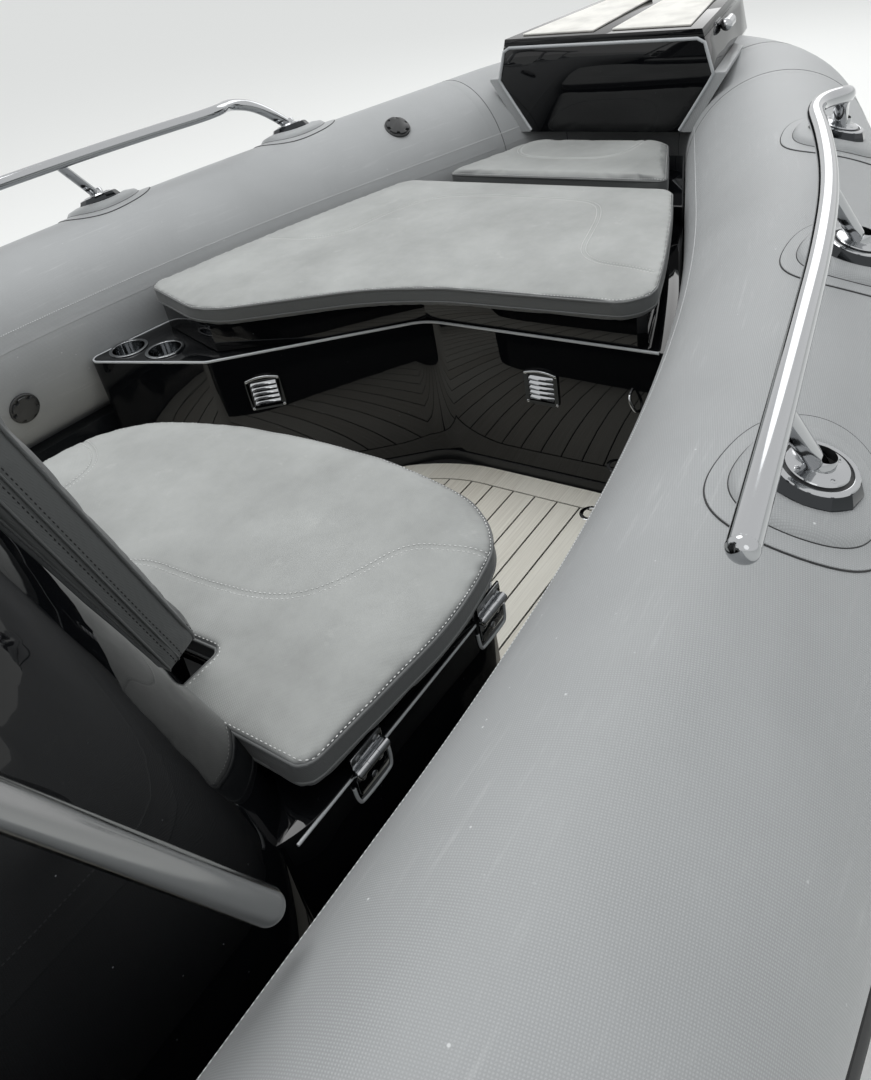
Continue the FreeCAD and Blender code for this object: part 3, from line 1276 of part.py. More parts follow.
def propeller():
    """Three-bladed propeller on its hub."""
    aft = prop_x + 25 - prop_hub_length
    body = Part.makeCylinder(prop_hub, prop_hub_length, V(aft, 0, prop_z), V(1, 0, 0))
    for blade in range(3):
        rings = []
        for share, chord, thick in blade_sections:
            radius = prop_radius * share
            slant = math.atan(prop_pitch / (2 * math.pi * radius))
            along = V(math.sin(slant), math.cos(slant), 0)
            way = V(math.cos(slant), -math.sin(slant), 0)
            spot = V(0, 0, radius) - along * (blade_sweep * share ** 2)
            half = thick / 2
            ring = [spot - along * (chord / 2), spot - along * (chord / 6) + way * half,
                    spot + along * (chord / 4) + way * half, spot + along * (chord / 2),
                    spot + along * (chord / 4) - way * half, spot - along * (chord / 6) - way * half]
            rings.append(Part.makePolygon(ring + [ring[0]]))
        leaf = Part.makeLoft(rings, True, True)
        leaf.rotate(V(0, 0, 0), V(1, 0, 0), 120.0 * blade)
        leaf.translate(V(prop_x - blade_set, 0, prop_z))
        body = body.fuse(leaf)
    hole = Part.makeCylinder(prop_shaft + hinge_play, 2 * prop_hub_length, V(aft - 20, 0, prop_z), V(1, 0, 0))
    return body.cut(hole)


def lifting_eye(way):
    """Eye whose plate's face lies at X = 0 and whose ring reaches along X by way."""
    half = eye_thick / 2
    ends = sorted((0.0, way * eye_reach))
    web = box(ends[0], ends[1], -half, half, -eye_radius, eye_radius)
    ring = Part.makeCylinder(eye_radius, eye_thick, V(way * eye_reach, -half, 0), V(0, 1, 0))
    hole = Part.makeCylinder(eye_hole, eye_thick * 3, V(way * eye_reach, -eye_thick, 0), V(0, 1, 0))
    return web.fuse(ring).cut(hole)


def make_eyes(hull):
    """Towing eye on the stem and lifting eyes on the transom."""
    eyes = []
    for side in (1, -1):
        plate = box(-eye_plate_thick, 0, -eye_plate / 2, eye_plate / 2, -eye_plate_height / 2,
                    eye_plate_height / 2)
        eye = plate.fuse(lifting_eye(-1))
        eye.translate(V(transom_x, side * stern_eye_y, stern_eye_z))
        eyes.append(eye)
    save("stern_eyes", Part.makeCompound(eyes))
    eye = lifting_eye(1).fuse(box(-bow_eye_root, 0, -eye_thick / 2, eye_thick / 2, -eye_radius,
                                 eye_radius))
    eye.translate(V(bow_eye_x, 0, bow_eye_z))
    save("bow_eye", eye.cut(hull))


def main():
    os.makedirs("parts", exist_ok=True)
    port = make_tubes()
    hull = make_hull(port)
    make_bow_seating(hull)
    make_bow_step(port)
    make_rails(port)
    console = make_console()
    make_front_seat(console)
    make_helm(console)
    make_helm_seat()
    make_stern()
    make_outboard()
    make_eyes(hull)


main()
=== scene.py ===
"""Looks of an inflatable rib boat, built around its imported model. Lengths are in metres."""
import json
import math
import bmesh
import bpy
import numpy as np
from bpy.props import FloatProperty, FloatVectorProperty, IntProperty, PointerProperty
from mathutils import Matrix, Vector
from mathutils.bvhtree import BVHTree

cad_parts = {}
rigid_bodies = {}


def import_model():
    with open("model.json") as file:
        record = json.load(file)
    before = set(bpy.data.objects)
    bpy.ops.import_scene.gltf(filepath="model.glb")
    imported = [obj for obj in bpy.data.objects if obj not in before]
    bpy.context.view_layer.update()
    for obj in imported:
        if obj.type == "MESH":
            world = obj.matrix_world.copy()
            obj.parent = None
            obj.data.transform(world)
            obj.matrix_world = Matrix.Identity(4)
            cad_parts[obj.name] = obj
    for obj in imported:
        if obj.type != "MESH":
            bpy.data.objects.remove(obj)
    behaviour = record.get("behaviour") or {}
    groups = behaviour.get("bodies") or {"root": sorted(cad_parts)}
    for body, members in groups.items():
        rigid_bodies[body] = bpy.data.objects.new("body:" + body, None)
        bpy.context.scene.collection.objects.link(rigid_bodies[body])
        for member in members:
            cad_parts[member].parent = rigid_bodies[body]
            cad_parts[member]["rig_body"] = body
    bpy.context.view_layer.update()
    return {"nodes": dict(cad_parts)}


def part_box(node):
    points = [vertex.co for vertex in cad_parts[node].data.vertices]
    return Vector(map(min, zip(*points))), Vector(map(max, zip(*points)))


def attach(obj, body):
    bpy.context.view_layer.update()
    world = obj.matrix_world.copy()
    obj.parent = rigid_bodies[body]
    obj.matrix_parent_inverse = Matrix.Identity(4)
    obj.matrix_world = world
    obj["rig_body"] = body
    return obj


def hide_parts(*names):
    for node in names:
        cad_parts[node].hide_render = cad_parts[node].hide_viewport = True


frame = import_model()

bl_info = {
    "name": "Rib Boat Finish",
    "version": (1, 0, 0),
    "blender": (4, 5, 0),
    "location": "3D View > Sidebar > Rib Boat",
    "description": "Fabric tubes, cushions, gelcoat and fittings for a rib boat",
    "category": "Add Mesh",
}

# Plan of the tube axis: straight, wide arc, straight, nose arc
tube_radius = 0.25
tube_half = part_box("tube_port")[1].y - tube_radius
tube_z = 0.515
tube_rise = 0.012
tail_x = -2.70
bend_x = 0.40
bend_radius = 5.10
turn = math.radians(21.0)
nose_radius = 0.52
bend_end = Vector((bend_x + bend_radius * math.sin(turn),
                   tube_half - bend_radius * (1 - math.cos(turn)), 0))
nose_y = nose_radius * math.cos(turn)
nose_x = bend_end.x + (bend_end.y - nose_y) / math.tan(turn)
nose_centre = nose_x - nose_radius * math.sin(turn)
arc_length = bend_radius * turn
run_length = (Vector((nose_x, nose_y, 0)) - bend_end).length

# The console's middle, offset to starboard
console_low, console_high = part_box("console")
console_y = (console_low.y + console_high.y) / 2


def linear(text):
    """sRGB hex to a linear colour."""
    values = [int(text[i:i + 2], 16) / 255 for i in (1, 3, 5)]
    return tuple(v / 12.92 if v <= 0.04045 else ((v + 0.055) / 1.055) ** 2.4 for v in values) + (1.0,)


def colour(name, description, text):
    """Colour property with its default written as sRGB hex."""
    return FloatVectorProperty(name=name, description=description, subtype="COLOR", size=4, min=0.0, max=1.0,
                               default=linear(text))


def length(name, description, default):
    """Length property in metres."""
    return FloatProperty(name=name, description=description, default=default, min=0.0, unit="LENGTH",
                         precision=4)


class RibTubeSettings(bpy.types.PropertyGroup):
    """Fabric of the buoyancy tubes and what is glued to them."""
    fabric: colour("Fabric", "Coated fabric of the tubes", "#a4a6a7")
    fabric_worn: colour("Worn fabric", "Fabric where it is scuffed", "#c3c5c5")
    thread: colour("Thread", "Cut edge that shows along the tube's seam", "#e6e8e8")
    rubber: colour("Rubber", "Rub strake round the tubes", "#1a1b1c")
    weave: length("Weave", "Spacing of the fabric's threads", 0.003)
    seam_z: length("Seam height", "Height of the seam along the inner side", 0.656)
    sides: IntProperty(name="Sides", description="Sides round a tube", default=96, min=24, max=160)


class RibCushionSettings(bpy.types.PropertyGroup):
    """Upholstery of all cushions."""
    vinyl: colour("Vinyl", "Charcoal textured vinyl", "#555757")
    # The upper faces' colour is painted top light: much lighter than the sides, with some dust.
    dust_and_painted_top_light: colour("Painted top light vinyl", "Upper faces, dusty and painted lighter as top light", "#a2a4a2")
    # The welts' colour here is for their upper faces, painted lighter than their sides as painted top light.
    welt_painted_top_light: colour("Boxing", "Vinyl of the welts", "#646666")
    thread: colour("Thread", "Seam stitching", "#d9dad8")
    thread_dark: colour("Dark thread", "Stitching of the backrests", "#1c1c1d")
    rib: length("Rib", "Spacing of the vinyl's ribs", 0.0024)
    voxel: length("Voxel", "Finest size of the mesh that is inflated", 0.006)
    swell: length("Swell", "Most that a cushion swells", 0.009)
    stitch: length("Stitch", "Length of one stitch", 0.0052)
    stitch_pitch: length("Stitch pitch", "Distance from stitch to stitch", 0.0078)
    welt: length("Welt", "Radius of the welt round a cushion", 0.0026)


class RibTrimSettings(bpy.types.PropertyGroup):
    """Gelcoat, steel and plastic."""
    gelcoat: colour("Gelcoat", "High-gloss black gelcoat", "#0b0c0e")
    hull: colour("Hull", "Gelcoat of the hull", "#17191b")
    steel: colour("Steel", "Polished stainless steel", "#aeb0b2")
    satin: colour("Satin steel", "Satin steel of the console's rails", "#8c8d8d")
    # The pale edge colour is a painted highlight: it stands in for the bright reflection along moulded edges.
    painted_highlight: colour("Painted highlight edge", "Gelcoat that is rubbed pale along an edge", "#b4b7b9")
    plastic: colour("Plastic", "Moulded black plastic", "#191a1b")
    engine: colour("Engine", "Paint of the outboard", "#15171a")
    edge: length("Edge", "Radius of a moulded edge", 0.004)


class RibDeckSettings(bpy.types.PropertyGroup):
    """Plank-pattern deck and step pads."""
    plank: colour("Plank", "Weathered plank", "#efebdf")
    plank_dark: colour("Plank grain", "Darker grain", "#cbc5b8")
    caulk: colour("Caulk", "Seams between the planks", "#141414")
    pad: colour("Pad", "Pale step pad", "#eceae4")
    width: length("Plank width", "Width of one plank with its seam", 0.062)
    seam: length("Seam", "Width of a seam", 0.0045)
    margin: length("Margin", "Width of the margin plank", 0.068)
    lift: length("Plank height", "How far a plank stands above the seams", 0.003)


class RibStageSettings(bpy.types.PropertyGroup):
    """Floor, light and camera."""
    floor: colour("Floor", "Plain floor at the waterline", "#f1f1ef")
    key: FloatProperty(name="Key light", description="Strength of the overhead light", default=80.0, min=0.0)
    sky: FloatProperty(name="Sky", description="Strength of the surrounding light", default=0.55, min=0.0)
    lens: FloatProperty(name="Lens", description="Focal length", default=30.667, min=1.0, unit="CAMERA")


# Shared tools

def add(tree, kind, inputs=None, **settings):
    """Add a node with its settings; an input is a value, a node's output, or a node for its first output."""
    made = tree.nodes.new(kind)
    for name, value in settings.items():
        setattr(made, name, value)
    for key, value in (inputs or {}).items():
        if isinstance(value, bpy.types.Node):
            value = value.outputs[0]
        if isinstance(value, bpy.types.NodeSocket):
            tree.links.new(value, made.inputs[key])
        else:
            made.inputs[key].default_value = value
    return made


def new_finish(name, uv=False):
    """Node tree of a new finish, whose name isn't one that the frame has, and its pattern's coordinates."""
    made = bpy.data.materials.new(name + "_finish")
    made.use_nodes = True
    tree = made.node_tree
    tree.nodes.clear()
    if uv:
        return tree, add(tree, "ShaderNodeUVMap", uv_map="UVMap")
    return tree, add(tree, "ShaderNodeTexCoord").outputs["Object"]


def principled(tree, inputs):
    """End a finish: what is the same everywhere stands as a value on the shader's own sockets."""
    shader = add(tree, "ShaderNodeBsdfPrincipled", inputs)
    add(tree, "ShaderNodeOutputMaterial", {"Surface": shader})


def material(name):
    """A finish by its name."""
    return bpy.data.materials[name + "_finish"]


def ramp(tree, factor, low, high):
    """Stretch a factor so that low becomes 0 and high becomes 1."""
    return add(tree, "ShaderNodeMapRange", {"Value": factor, "From Min": low, "From Max": high}, clamp=True)


def mixed(tree, factor, a, b):
    """Mix of two colours."""
    return add(tree, "ShaderNodeMix", {0: factor, 6: a, 7: b}, data_type="RGBA").outputs[2]


def toned(base, factor, lift=0.0):
    """Colour made lighter or darker."""
    return tuple(min(c * factor + lift, 1.0) for c in base[:3]) + (1,)


def wave_scale(spacing):
    """Scale of a wave texture whose bands lie a spacing apart."""
    return math.pi / 10 / spacing


def to_piece(name, bm, finish, body="root", replaces=(), smooth=35.0):
    """Turn a bmesh into a piece that rides on a body."""
    mesh = bpy.data.meshes.new(name)
    bm.to_mesh(mesh)
    bm.free()
    return mesh_piece(name, mesh, finish, body, replaces, smooth)


def mesh_piece(name, mesh, finish, body="root", replaces=(), smooth=35.0):
    """Turn a mesh into a piece that rides on a body."""
    piece = bpy.data.objects.new(name, mesh)
    bpy.context.scene.collection.objects.link(piece)
    mesh.materials.clear()
    mesh.materials.append(material(finish))
    mesh.shade_smooth()
    if smooth:
        mesh.set_sharp_from_angle(angle=math.radians(smooth))
    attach(piece, body)
    if replaces:
        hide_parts(*replaces)
    return piece


def evaluated_mesh(piece):
    """Mesh of a piece with its modifiers applied."""
    graph = bpy.context.evaluated_depsgraph_get()
    return bpy.data.meshes.new_from_object(piece.evaluated_get(graph))


def flipped(bm):
    """Turn a port piece into its starboard twin."""
    bmesh.ops.scale(bm, vec=(1, -1, 1), verts=bm.verts)
    bmesh.ops.reverse_faces(bm, faces=bm.faces)


def twins(name, make, finish, replaces=(), smooth=35.0):
    """Make a port piece and its starboard twin."""
    made = []
    for side, end in ((1, "port"), (-1, "starboard")):
        bm = make()
        if side < 0:
            flipped(bm)
        nodes = [n for n in replaces if n.endswith(end)]
        made.append(to_piece(name + "_" + end, bm, finish, replaces=nodes, smooth=smooth))
    return made


def axis_at(x):
    """Half beam and heading of the tube axis at a station."""
    if x <= bend_x:
        return tube_half, 0.0
    if x <= bend_end.x:
        return tube_half - bend_radius + math.sqrt(bend_radius ** 2 - (x - bend_x) ** 2), \
            math.asin((x - bend_x) / bend_radius)
    if x <= nose_x:
        return bend_end.y - (x - bend_end.x) * math.tan(turn), turn
    x = min(x, nose_centre + nose_radius)
    return math.sqrt(max(nose_radius ** 2 - (x - nose_centre) ** 2, 0.0)), \
        math.asin((x - nose_centre) / nose_radius)


def tube_frame(x, angle, lift=0.0):
    """Point on the port tube, its outward, forward and sideways directions; angle outboard of the crest."""
    half, heading = axis_at(x)
    out = Vector((math.sin(heading) * math.sin(angle), math.cos(heading) * math.sin(angle),
                  math.cos(angle)))
    ahead = Vector((math.cos(heading), -math.sin(heading), tube_rise)).normalized()
    point = Vector((x, half, tube_z + tube_rise * x)) + out * (tube_radius + lift)
    return point, out, ahead, out.cross(ahead)


def run_at(x, y):
    """Length along the tube's plan from the bend's start to a point."""
    if x <= bend_x:
        return x - bend_x
    centre_y = tube_half - bend_radius
    angle = math.atan2(x - bend_x, y - centre_y)
    if angle <= turn:
        return bend_radius * angle
    along = (x - bend_end.x) * math.cos(turn) - (y - bend_end.y) * math.sin(turn)
    if along <= run_length:
        return arc_length + along
    return arc_length + run_length + nose_radius * (math.atan2(x - nose_centre, y) - turn)


def tube_uv(mesh):
    """UV in metres: along the tube and round it from the crest."""
    layer = mesh.uv_layers.new(name="UVMap")
    spots = []
    for vertex in mesh.vertices:
        x, y, z = vertex.co
        y = abs(y)
        run = run_at(x, y)
        half = axis_at(min(x, nose_centre + nose_radius))[0]
        if x <= bend_x:
            across = y - half
        elif run <= arc_length:
            across = math.hypot(x - bend_x, y - tube_half + bend_radius) - bend_radius
        elif run <= arc_length + run_length:
            across = (x - bend_end.x) * math.sin(turn) + (y - bend_end.y) * math.cos(turn)
        else:
            across = math.hypot(x - nose_centre, y) - nose_radius
        spots.append((run, math.atan2(across, z - tube_z - tube_rise * x)))
    for face in mesh.polygons:
        angles = [spots[mesh.loops[i].vertex_index][1] for i in face.loop_indices]
        wraps = max(angles) - min(angles) > math.pi
        for i, angle in zip(face.loop_indices, angles):
            if wraps and angle < 0:
                angle += 2 * math.pi
            run = spots[mesh.loops[i].vertex_index][0]
            layer.data[i].uv = (run, angle * tube_radius)


def only_verts(made):
    """Vertices among what an operator made."""
    return [item for item in made if isinstance(item, bmesh.types.BMVert)]


def raised(bm, faces, height):
    """Extrude faces upwards and give back what that made."""
    made = bmesh.ops.extrude_face_region(bm, geom=faces)["geom"]
    bmesh.ops.translate(bm, vec=(0, 0, height), verts=only_verts(made))
    return made


def rounded(bm, geom, width, segments, affect="EDGES", clamp=True):
    """Round edges or corners, with the editor's own settings."""
    bmesh.ops.bevel(bm, geom=geom, offset=width, offset_type="OFFSET", segments=segments, profile=0.5,
                    affect=affect, clamp_overlap=clamp, material=-1)


def new_edges(made):
    """Edges between the vertices that an extrusion made, and those vertices."""
    verts = set(only_verts(made))
    edges = [item for item in made if isinstance(item, bmesh.types.BMEdge)
             and item.verts[0] in verts and item.verts[1] in verts]
    return edges, list(verts)


def pull(bm, edges, offset, steps):
    """Extrude edges along an offset in equal steps."""
    for _ in range(steps):
        edges, verts = new_edges(bmesh.ops.extrude_edge_only(bm, edges=edges)["geom"])
        bmesh.ops.translate(bm, vec=offset / steps, verts=verts)
    return edges


def swing(bm, edges, centre, angle, steps):
    """Spin edges about an upright axis, towards the centreline."""
    points = {v for e in edges for v in e.verts}
    made = bmesh.ops.spin(bm, geom=list(points) + edges, cent=centre, axis=(0, 0, -1), dvec=(0, 0, 0),
                          angle=angle, steps=steps, use_duplicate=False)["geom_last"]
    return [item for item in made if isinstance(item, bmesh.types.BMEdge)]


def sweep_bow(bm, edges, start_x):
    """Sweep a profile, drawn at start_x across the port axis, to the centreline at the nose."""
    edges = pull(bm, edges, Vector((bend_x - start_x, 0, 0)), 30)
    edges = swing(bm, edges, (bend_x, tube_half - bend_radius, 0), turn, 40)
    edges = pull(bm, edges, Vector((nose_x, nose_y, 0)) - bend_end, 12)
    swing(bm, edges, (nose_centre, 0, 0), math.pi / 2 - turn, 36)
    tilt = Matrix.Rotation(-math.atan(tube_rise), 3, "Y")
    bmesh.ops.rotate(bm, cent=(0, 0, tube_z), matrix=tilt, verts=bm.verts)


def plan_face(bm, corners, z):
    """Plan polygon whose corners, given as x, y and setback, are rounded."""
    verts = [bm.verts.new((x, y, z)) for x, y, _ in corners]
    bm.faces.new(verts)
    for vert, (_, _, setback) in zip(verts, corners):
        if setback:
            rounded(bm, [vert], setback, 8, "VERTICES", clamp=False)
    bm.faces.ensure_lookup_table()
    return bm.faces[0]


def inset(bm, face, width):
    """Shrink a lone face and leave a rim round it."""
    bmesh.ops.inset_region(bm, faces=[face], thickness=width, use_even_offset=True, use_boundary=True)


def lift_face(bm, face, height):
    """Pull a face up into a solid."""
    raised(bm, [face], height)
    if face.is_valid and len(bm.faces) and not any(f.normal.z < -0.9 for f in bm.faces):
        face.normal_flip()
    bmesh.ops.recalc_face_normals(bm, faces=bm.faces)


def sharp_edges(bm, degrees):
    """Edges whose faces meet at more than an angle."""
    bm.normal_update()
    return [e for e in bm.edges if len(e.link_faces) == 2 and e.calc_face_angle(0.0) > math.radians(degrees)]


def soften(bm, width, segments=3, degrees=30.0):
    """Round the sharp edges of a mesh."""
    rounded(bm, sharp_edges(bm, degrees), width, segments)


def dress(node, finish, width, segments=3, rounds=()):
    """Rounded copy of a node's mesh; rounds lists upright edges, as x, y and setback, rounded more."""
    source = frame["nodes"][node]
    bm = bmesh.new()
    bm.from_mesh(source.data)
    bmesh.ops.remove_doubles(bm, verts=bm.verts, dist=2e-5)
    bmesh.ops.dissolve_limit(bm, angle_limit=math.radians(1.0), verts=bm.verts, edges=bm.edges,
                             use_dissolve_boundaries=False)
    for x, y, setback in rounds:
        close = [v for v in bm.verts if (v.co.xy - Vector((x, y))).length < 0.012]
        bmesh.ops.remove_doubles(bm, verts=close, dist=0.010)
        near = [e for e in bm.edges if (e.verts[0].co.xy - e.verts[1].co.xy).length < 1e-4
                and (e.verts[0].co.xy - Vector((x, y))).length < 0.012]
        rounded(bm, near, setback, 8)
    soften(bm, width, segments)
    return to_piece(node + "_finish", bm, finish, source["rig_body"], [node])


def keep(node, finish):
    """Show a node as it is, with a finish."""
    source = frame["nodes"][node]
    source.data.materials.clear()
    source.data.materials.append(material(finish))


def pipe_mesh(points, radius, sides=10, order=3, closed=False, resolution=6):
    """Round bar along a smooth line through control points; with no radius it is the bare line."""
    curve = bpy.data.curves.new("pipe", "CURVE")
    curve.dimensions = "3D"
    line = curve.splines.new("NURBS")
    line.points.add(len(points) - 1)
    for slot, point in zip(line.points, points):
        slot.co = (*point, 1.0)
    line.order_u = order
    line.use_endpoint_u = not closed
    line.use_cyclic_u = closed
    line.resolution_u = resolution
    curve.bevel_depth = radius
    curve.bevel_resolution = sides
    curve.use_fill_caps = not closed
    holder = bpy.data.objects.new("pipe", curve)
    bpy.context.scene.collection.objects.link(holder)
    mesh = evaluated_mesh(holder)
    bpy.data.objects.remove(holder)
    return mesh


def smooth_line(points):
    """Points along a smooth line through plan control points."""
    mesh = pipe_mesh(points, 0.0, resolution=12)
    found = [v.co.copy() for v in mesh.vertices]
    bpy.data.meshes.remove(mesh)
    return found


def pipe(name, points, radius, finish, body="root", sides=10, order=3, closed=False):
    """Piece of round bar."""
    return mesh_piece(name, pipe_mesh(points, radius, sides, order, closed), finish, body, smooth=50.0)


def place_on(bm, verts, spot, out, ahead):
    """Move vertices drawn about the origin, with +Z outward, to a spot."""
    side = out.cross(ahead).normalized()
    turn_to = Matrix((ahead, side, out)).transposed().to_4x4()
    bmesh.ops.transform(bm, matrix=Matrix.Translation(spot) @ turn_to, verts=verts)


def lathe(bm, profile, sides, spot, out, ahead):
    """Turn a profile of (radius, height) pairs about the outward axis at a spot."""
    verts = [bm.verts.new((radius, 0, height)) for radius, height in profile]
    edges = [bm.edges.new(pair) for pair in zip(verts, verts[1:])]
    before = set(bm.verts) - set(verts)
    bmesh.ops.spin(bm, geom=verts + edges, cent=(0, 0, 0), axis=(0, 0, 1), dvec=(0, 0, 0),
                   angle=2 * math.pi, steps=sides, use_merge=True, use_duplicate=False)
    made = [v for v in bm.verts if v not in before]
    bmesh.ops.remove_doubles(bm, verts=made, dist=1e-6)
    made = [v for v in bm.verts if v not in before]
    faces = {f for v in made for f in v.link_faces}
    bmesh.ops.recalc_face_normals(bm, faces=list(faces))
    place_on(bm, made, spot, out, ahead)


def plate(bm, x0, x1, y0, y1, z0, z1, corner, spot, out, ahead, hole=0.0):
    """Plate with rounded corners, drawn flat and moved to a spot; a hole leaves only a frame that wide."""
    part = bmesh.new()
    face = plan_face(part, ((x0, y0, corner), (x1, y0, corner), (x1, y1, corner), (x0, y1, corner)), z0)
    if hole:
        inset(part, face, hole)
        bmesh.ops.delete(part, geom=[face], context="FACES")
    raised(part, part.faces[:], z1 - z0)
    bmesh.ops.recalc_face_normals(part, faces=part.faces)
    soften(part, min(abs(z1 - z0) * 0.3, 0.001), 2, 60.0)
    place_on(part, part.verts, spot, out, ahead)
    mesh = bpy.data.meshes.new("plate")
    part.to_mesh(mesh)
    part.free()
    bm.from_mesh(mesh)
    bpy.data.meshes.remove(mesh)


def bar_between(bm, start, end, radius, sides=16):
    """Round bar with domed ends between two points."""
    way = (end - start).normalized()
    across = way.orthogonal().normalized()
    run = (end - start).length
    profile = ((0.0001, -radius * 0.4), (radius * 0.7, -radius * 0.25), (radius, 0.0), (radius, run),
               (radius * 0.7, run + radius * 0.25), (0.0001, run + radius * 0.4))
    lathe(bm, profile, sides, start, way, across)


def rounded_path(corners):
    """Open plan line whose inner corners, given as x, y and setback, are rounded."""
    steps = 10
    points = [Vector((x, y, 0)) for x, y, _ in corners]
    path = [points[0]]
    for before, here, after, (_, _, setback) in zip(points, points[1:], points[2:], corners[1:-1]):
        a, b = (before - here).normalized(), (after - here).normalized()
        half = a.angle(b) / 2
        if not setback or half > 1.56:
            path.append(here)
            continue
        centre = here + (a + b).normalized() * (setback / math.cos(half))
        start, end = here + a * setback - centre, here + b * setback - centre
        whole = math.pi - 2 * half
        for i in range(steps + 1):
            t = i / steps
            path.append(centre + (start * math.sin((1 - t) * whole) + end * math.sin(t * whole))
                        / math.sin(whole))
    return path + [points[-1]]


def at_height(path, z):
    """Plan line moved to a height."""
    return [Vector((p.x, p.y, z)) for p in path]


def band(name, path, low, high, thick, finish, body="root"):
    """Upright strip along an open plan line."""
    bm = bmesh.new()
    rows = [[bm.verts.new((p.x, p.y, z)) for p in line]
            for line in (path, offset_line(path, thick)) for z in (low, high)]
    a0, a1, b0, b1 = rows
    for i in range(len(path) - 1):
        for lower, upper in ((a0, a1), (a1, b1), (b1, b0), (b0, a0)):
            bm.faces.new((lower[i], lower[i + 1], upper[i + 1], upper[i]))
    for i in (0, -1):
        bm.faces.new((a0[i], a1[i], b1[i], b0[i]))
    bmesh.ops.recalc_face_normals(bm, faces=bm.faces)
    soften(bm, min(abs(thick), high - low) * 0.3, 2)
    return to_piece(name, bm, finish, body)


def steps_between(points, spacing):
    """Points at even spacing along a line of points."""
    out = []
    carry = 0.0
    for a, b in zip(points, points[1:]):
        run = (b - a).length
        place = carry
        while place < run:
            out.append((a + (b - a) * (place / run), (b - a).normalized()))
            place += spacing
        carry = place - run
    return out


# Materials

def make_tube_fabric(tubes):
    """Coated polyester fabric, calendered: satin, with the cloth's weave printing through and pale scuffs."""
    tree, spot = new_finish("tube_fabric", uv=True)
    turned = add(tree, "ShaderNodeMapping", {"Vector": spot, "Rotation": (0, 0, math.radians(14))})
    warp, weft = (add(tree, "ShaderNodeTexWave", {"Vector": turned, "Scale": wave_scale(tubes.weave)},
                      bands_direction=axis).outputs["Fac"] for axis in ("X", "Y"))
    weave = add(tree, "ShaderNodeMath", {0: warp, 1: weft}, operation="MULTIPLY")
    cloud = add(tree, "ShaderNodeTexNoise", {"Vector": spot, "Scale": 3.0, "Detail": 6.0, "Roughness": 0.62})
    drawn = add(tree, "ShaderNodeMapping", {"Vector": spot, "Rotation": (0, 0, 0.5), "Scale": (4, 60, 1)})
    scuff = add(tree, "ShaderNodeTexNoise", {"Vector": drawn, "Scale": 1.3, "Detail": 5.0, "Roughness": 0.7})
    marks = add(tree, "ShaderNodeMath", {0: ramp(tree, scuff, 0.56, 0.78), 1: ramp(tree, cloud, 0.45, 0.7)},
                operation="MULTIPLY")
    grit = add(tree, "ShaderNodeTexVoronoi", {"Vector": spot, "Scale": 30.0})
    few = add(tree, "ShaderNodeMath", {0: ramp(tree, grit, 0.06, 0.03), 1: ramp(tree, cloud, 0.48, 0.58)},
              operation="MULTIPLY")
    blend = add(tree, "ShaderNodeMath", {0: ramp(tree, cloud, 0.25, 0.8), 1: 0.6, 2: weave},
                operation="MULTIPLY_ADD")
    tone = mixed(tree, blend, toned(tubes.fabric, 0.84), toned(tubes.fabric, 1.12))
    worn = mixed(tree, marks, tone, tubes.fabric_worn)
    rough = add(tree, "ShaderNodeMapRange", {"Value": cloud, "To Min": 0.4, "To Max": 0.56})
    height = add(tree, "ShaderNodeMath", {0: weave, 1: marks}, operation="SUBTRACT")
    bump = add(tree, "ShaderNodeBump", {"Height": height, "Strength": 0.6, "Distance": 0.0005})
    principled(tree, {"Base Color": mixed(tree, few, worn, tubes.thread), "Roughness": rough, "Normal": bump,
                      "Sheen Weight": 0.12, "Sheen Roughness": 0.4})


def make_seam_thread(tubes):
    """Cut edge of the fabric: white yarn ends that show as a broken line."""
    tree, spot = new_finish("seam_thread", uv=True)
    bands = add(tree, "ShaderNodeTexWave", {"Vector": spot, "Scale": wave_scale(0.007), "Distortion": 1.5,
                                            "Detail Scale": 1.0}, bands_direction="X").outputs["Fac"]
    base = mixed(tree, ramp(tree, bands, 0.3, 0.55), tubes.fabric, tubes.thread)
    principled(tree, {"Base Color": base, "Roughness": 0.8})


def painted_top_light_mask(tree, low, high):
    """How far a surface faces up on the piece itself: the mask of the painted top light, which also carries
    the dust on the upper faces.
    """
    normal = add(tree, "ShaderNodeTexCoord").outputs["Normal"]
    return ramp(tree, add(tree, "ShaderNodeSeparateXYZ", {"Vector": normal}).outputs["Z"], low, high)


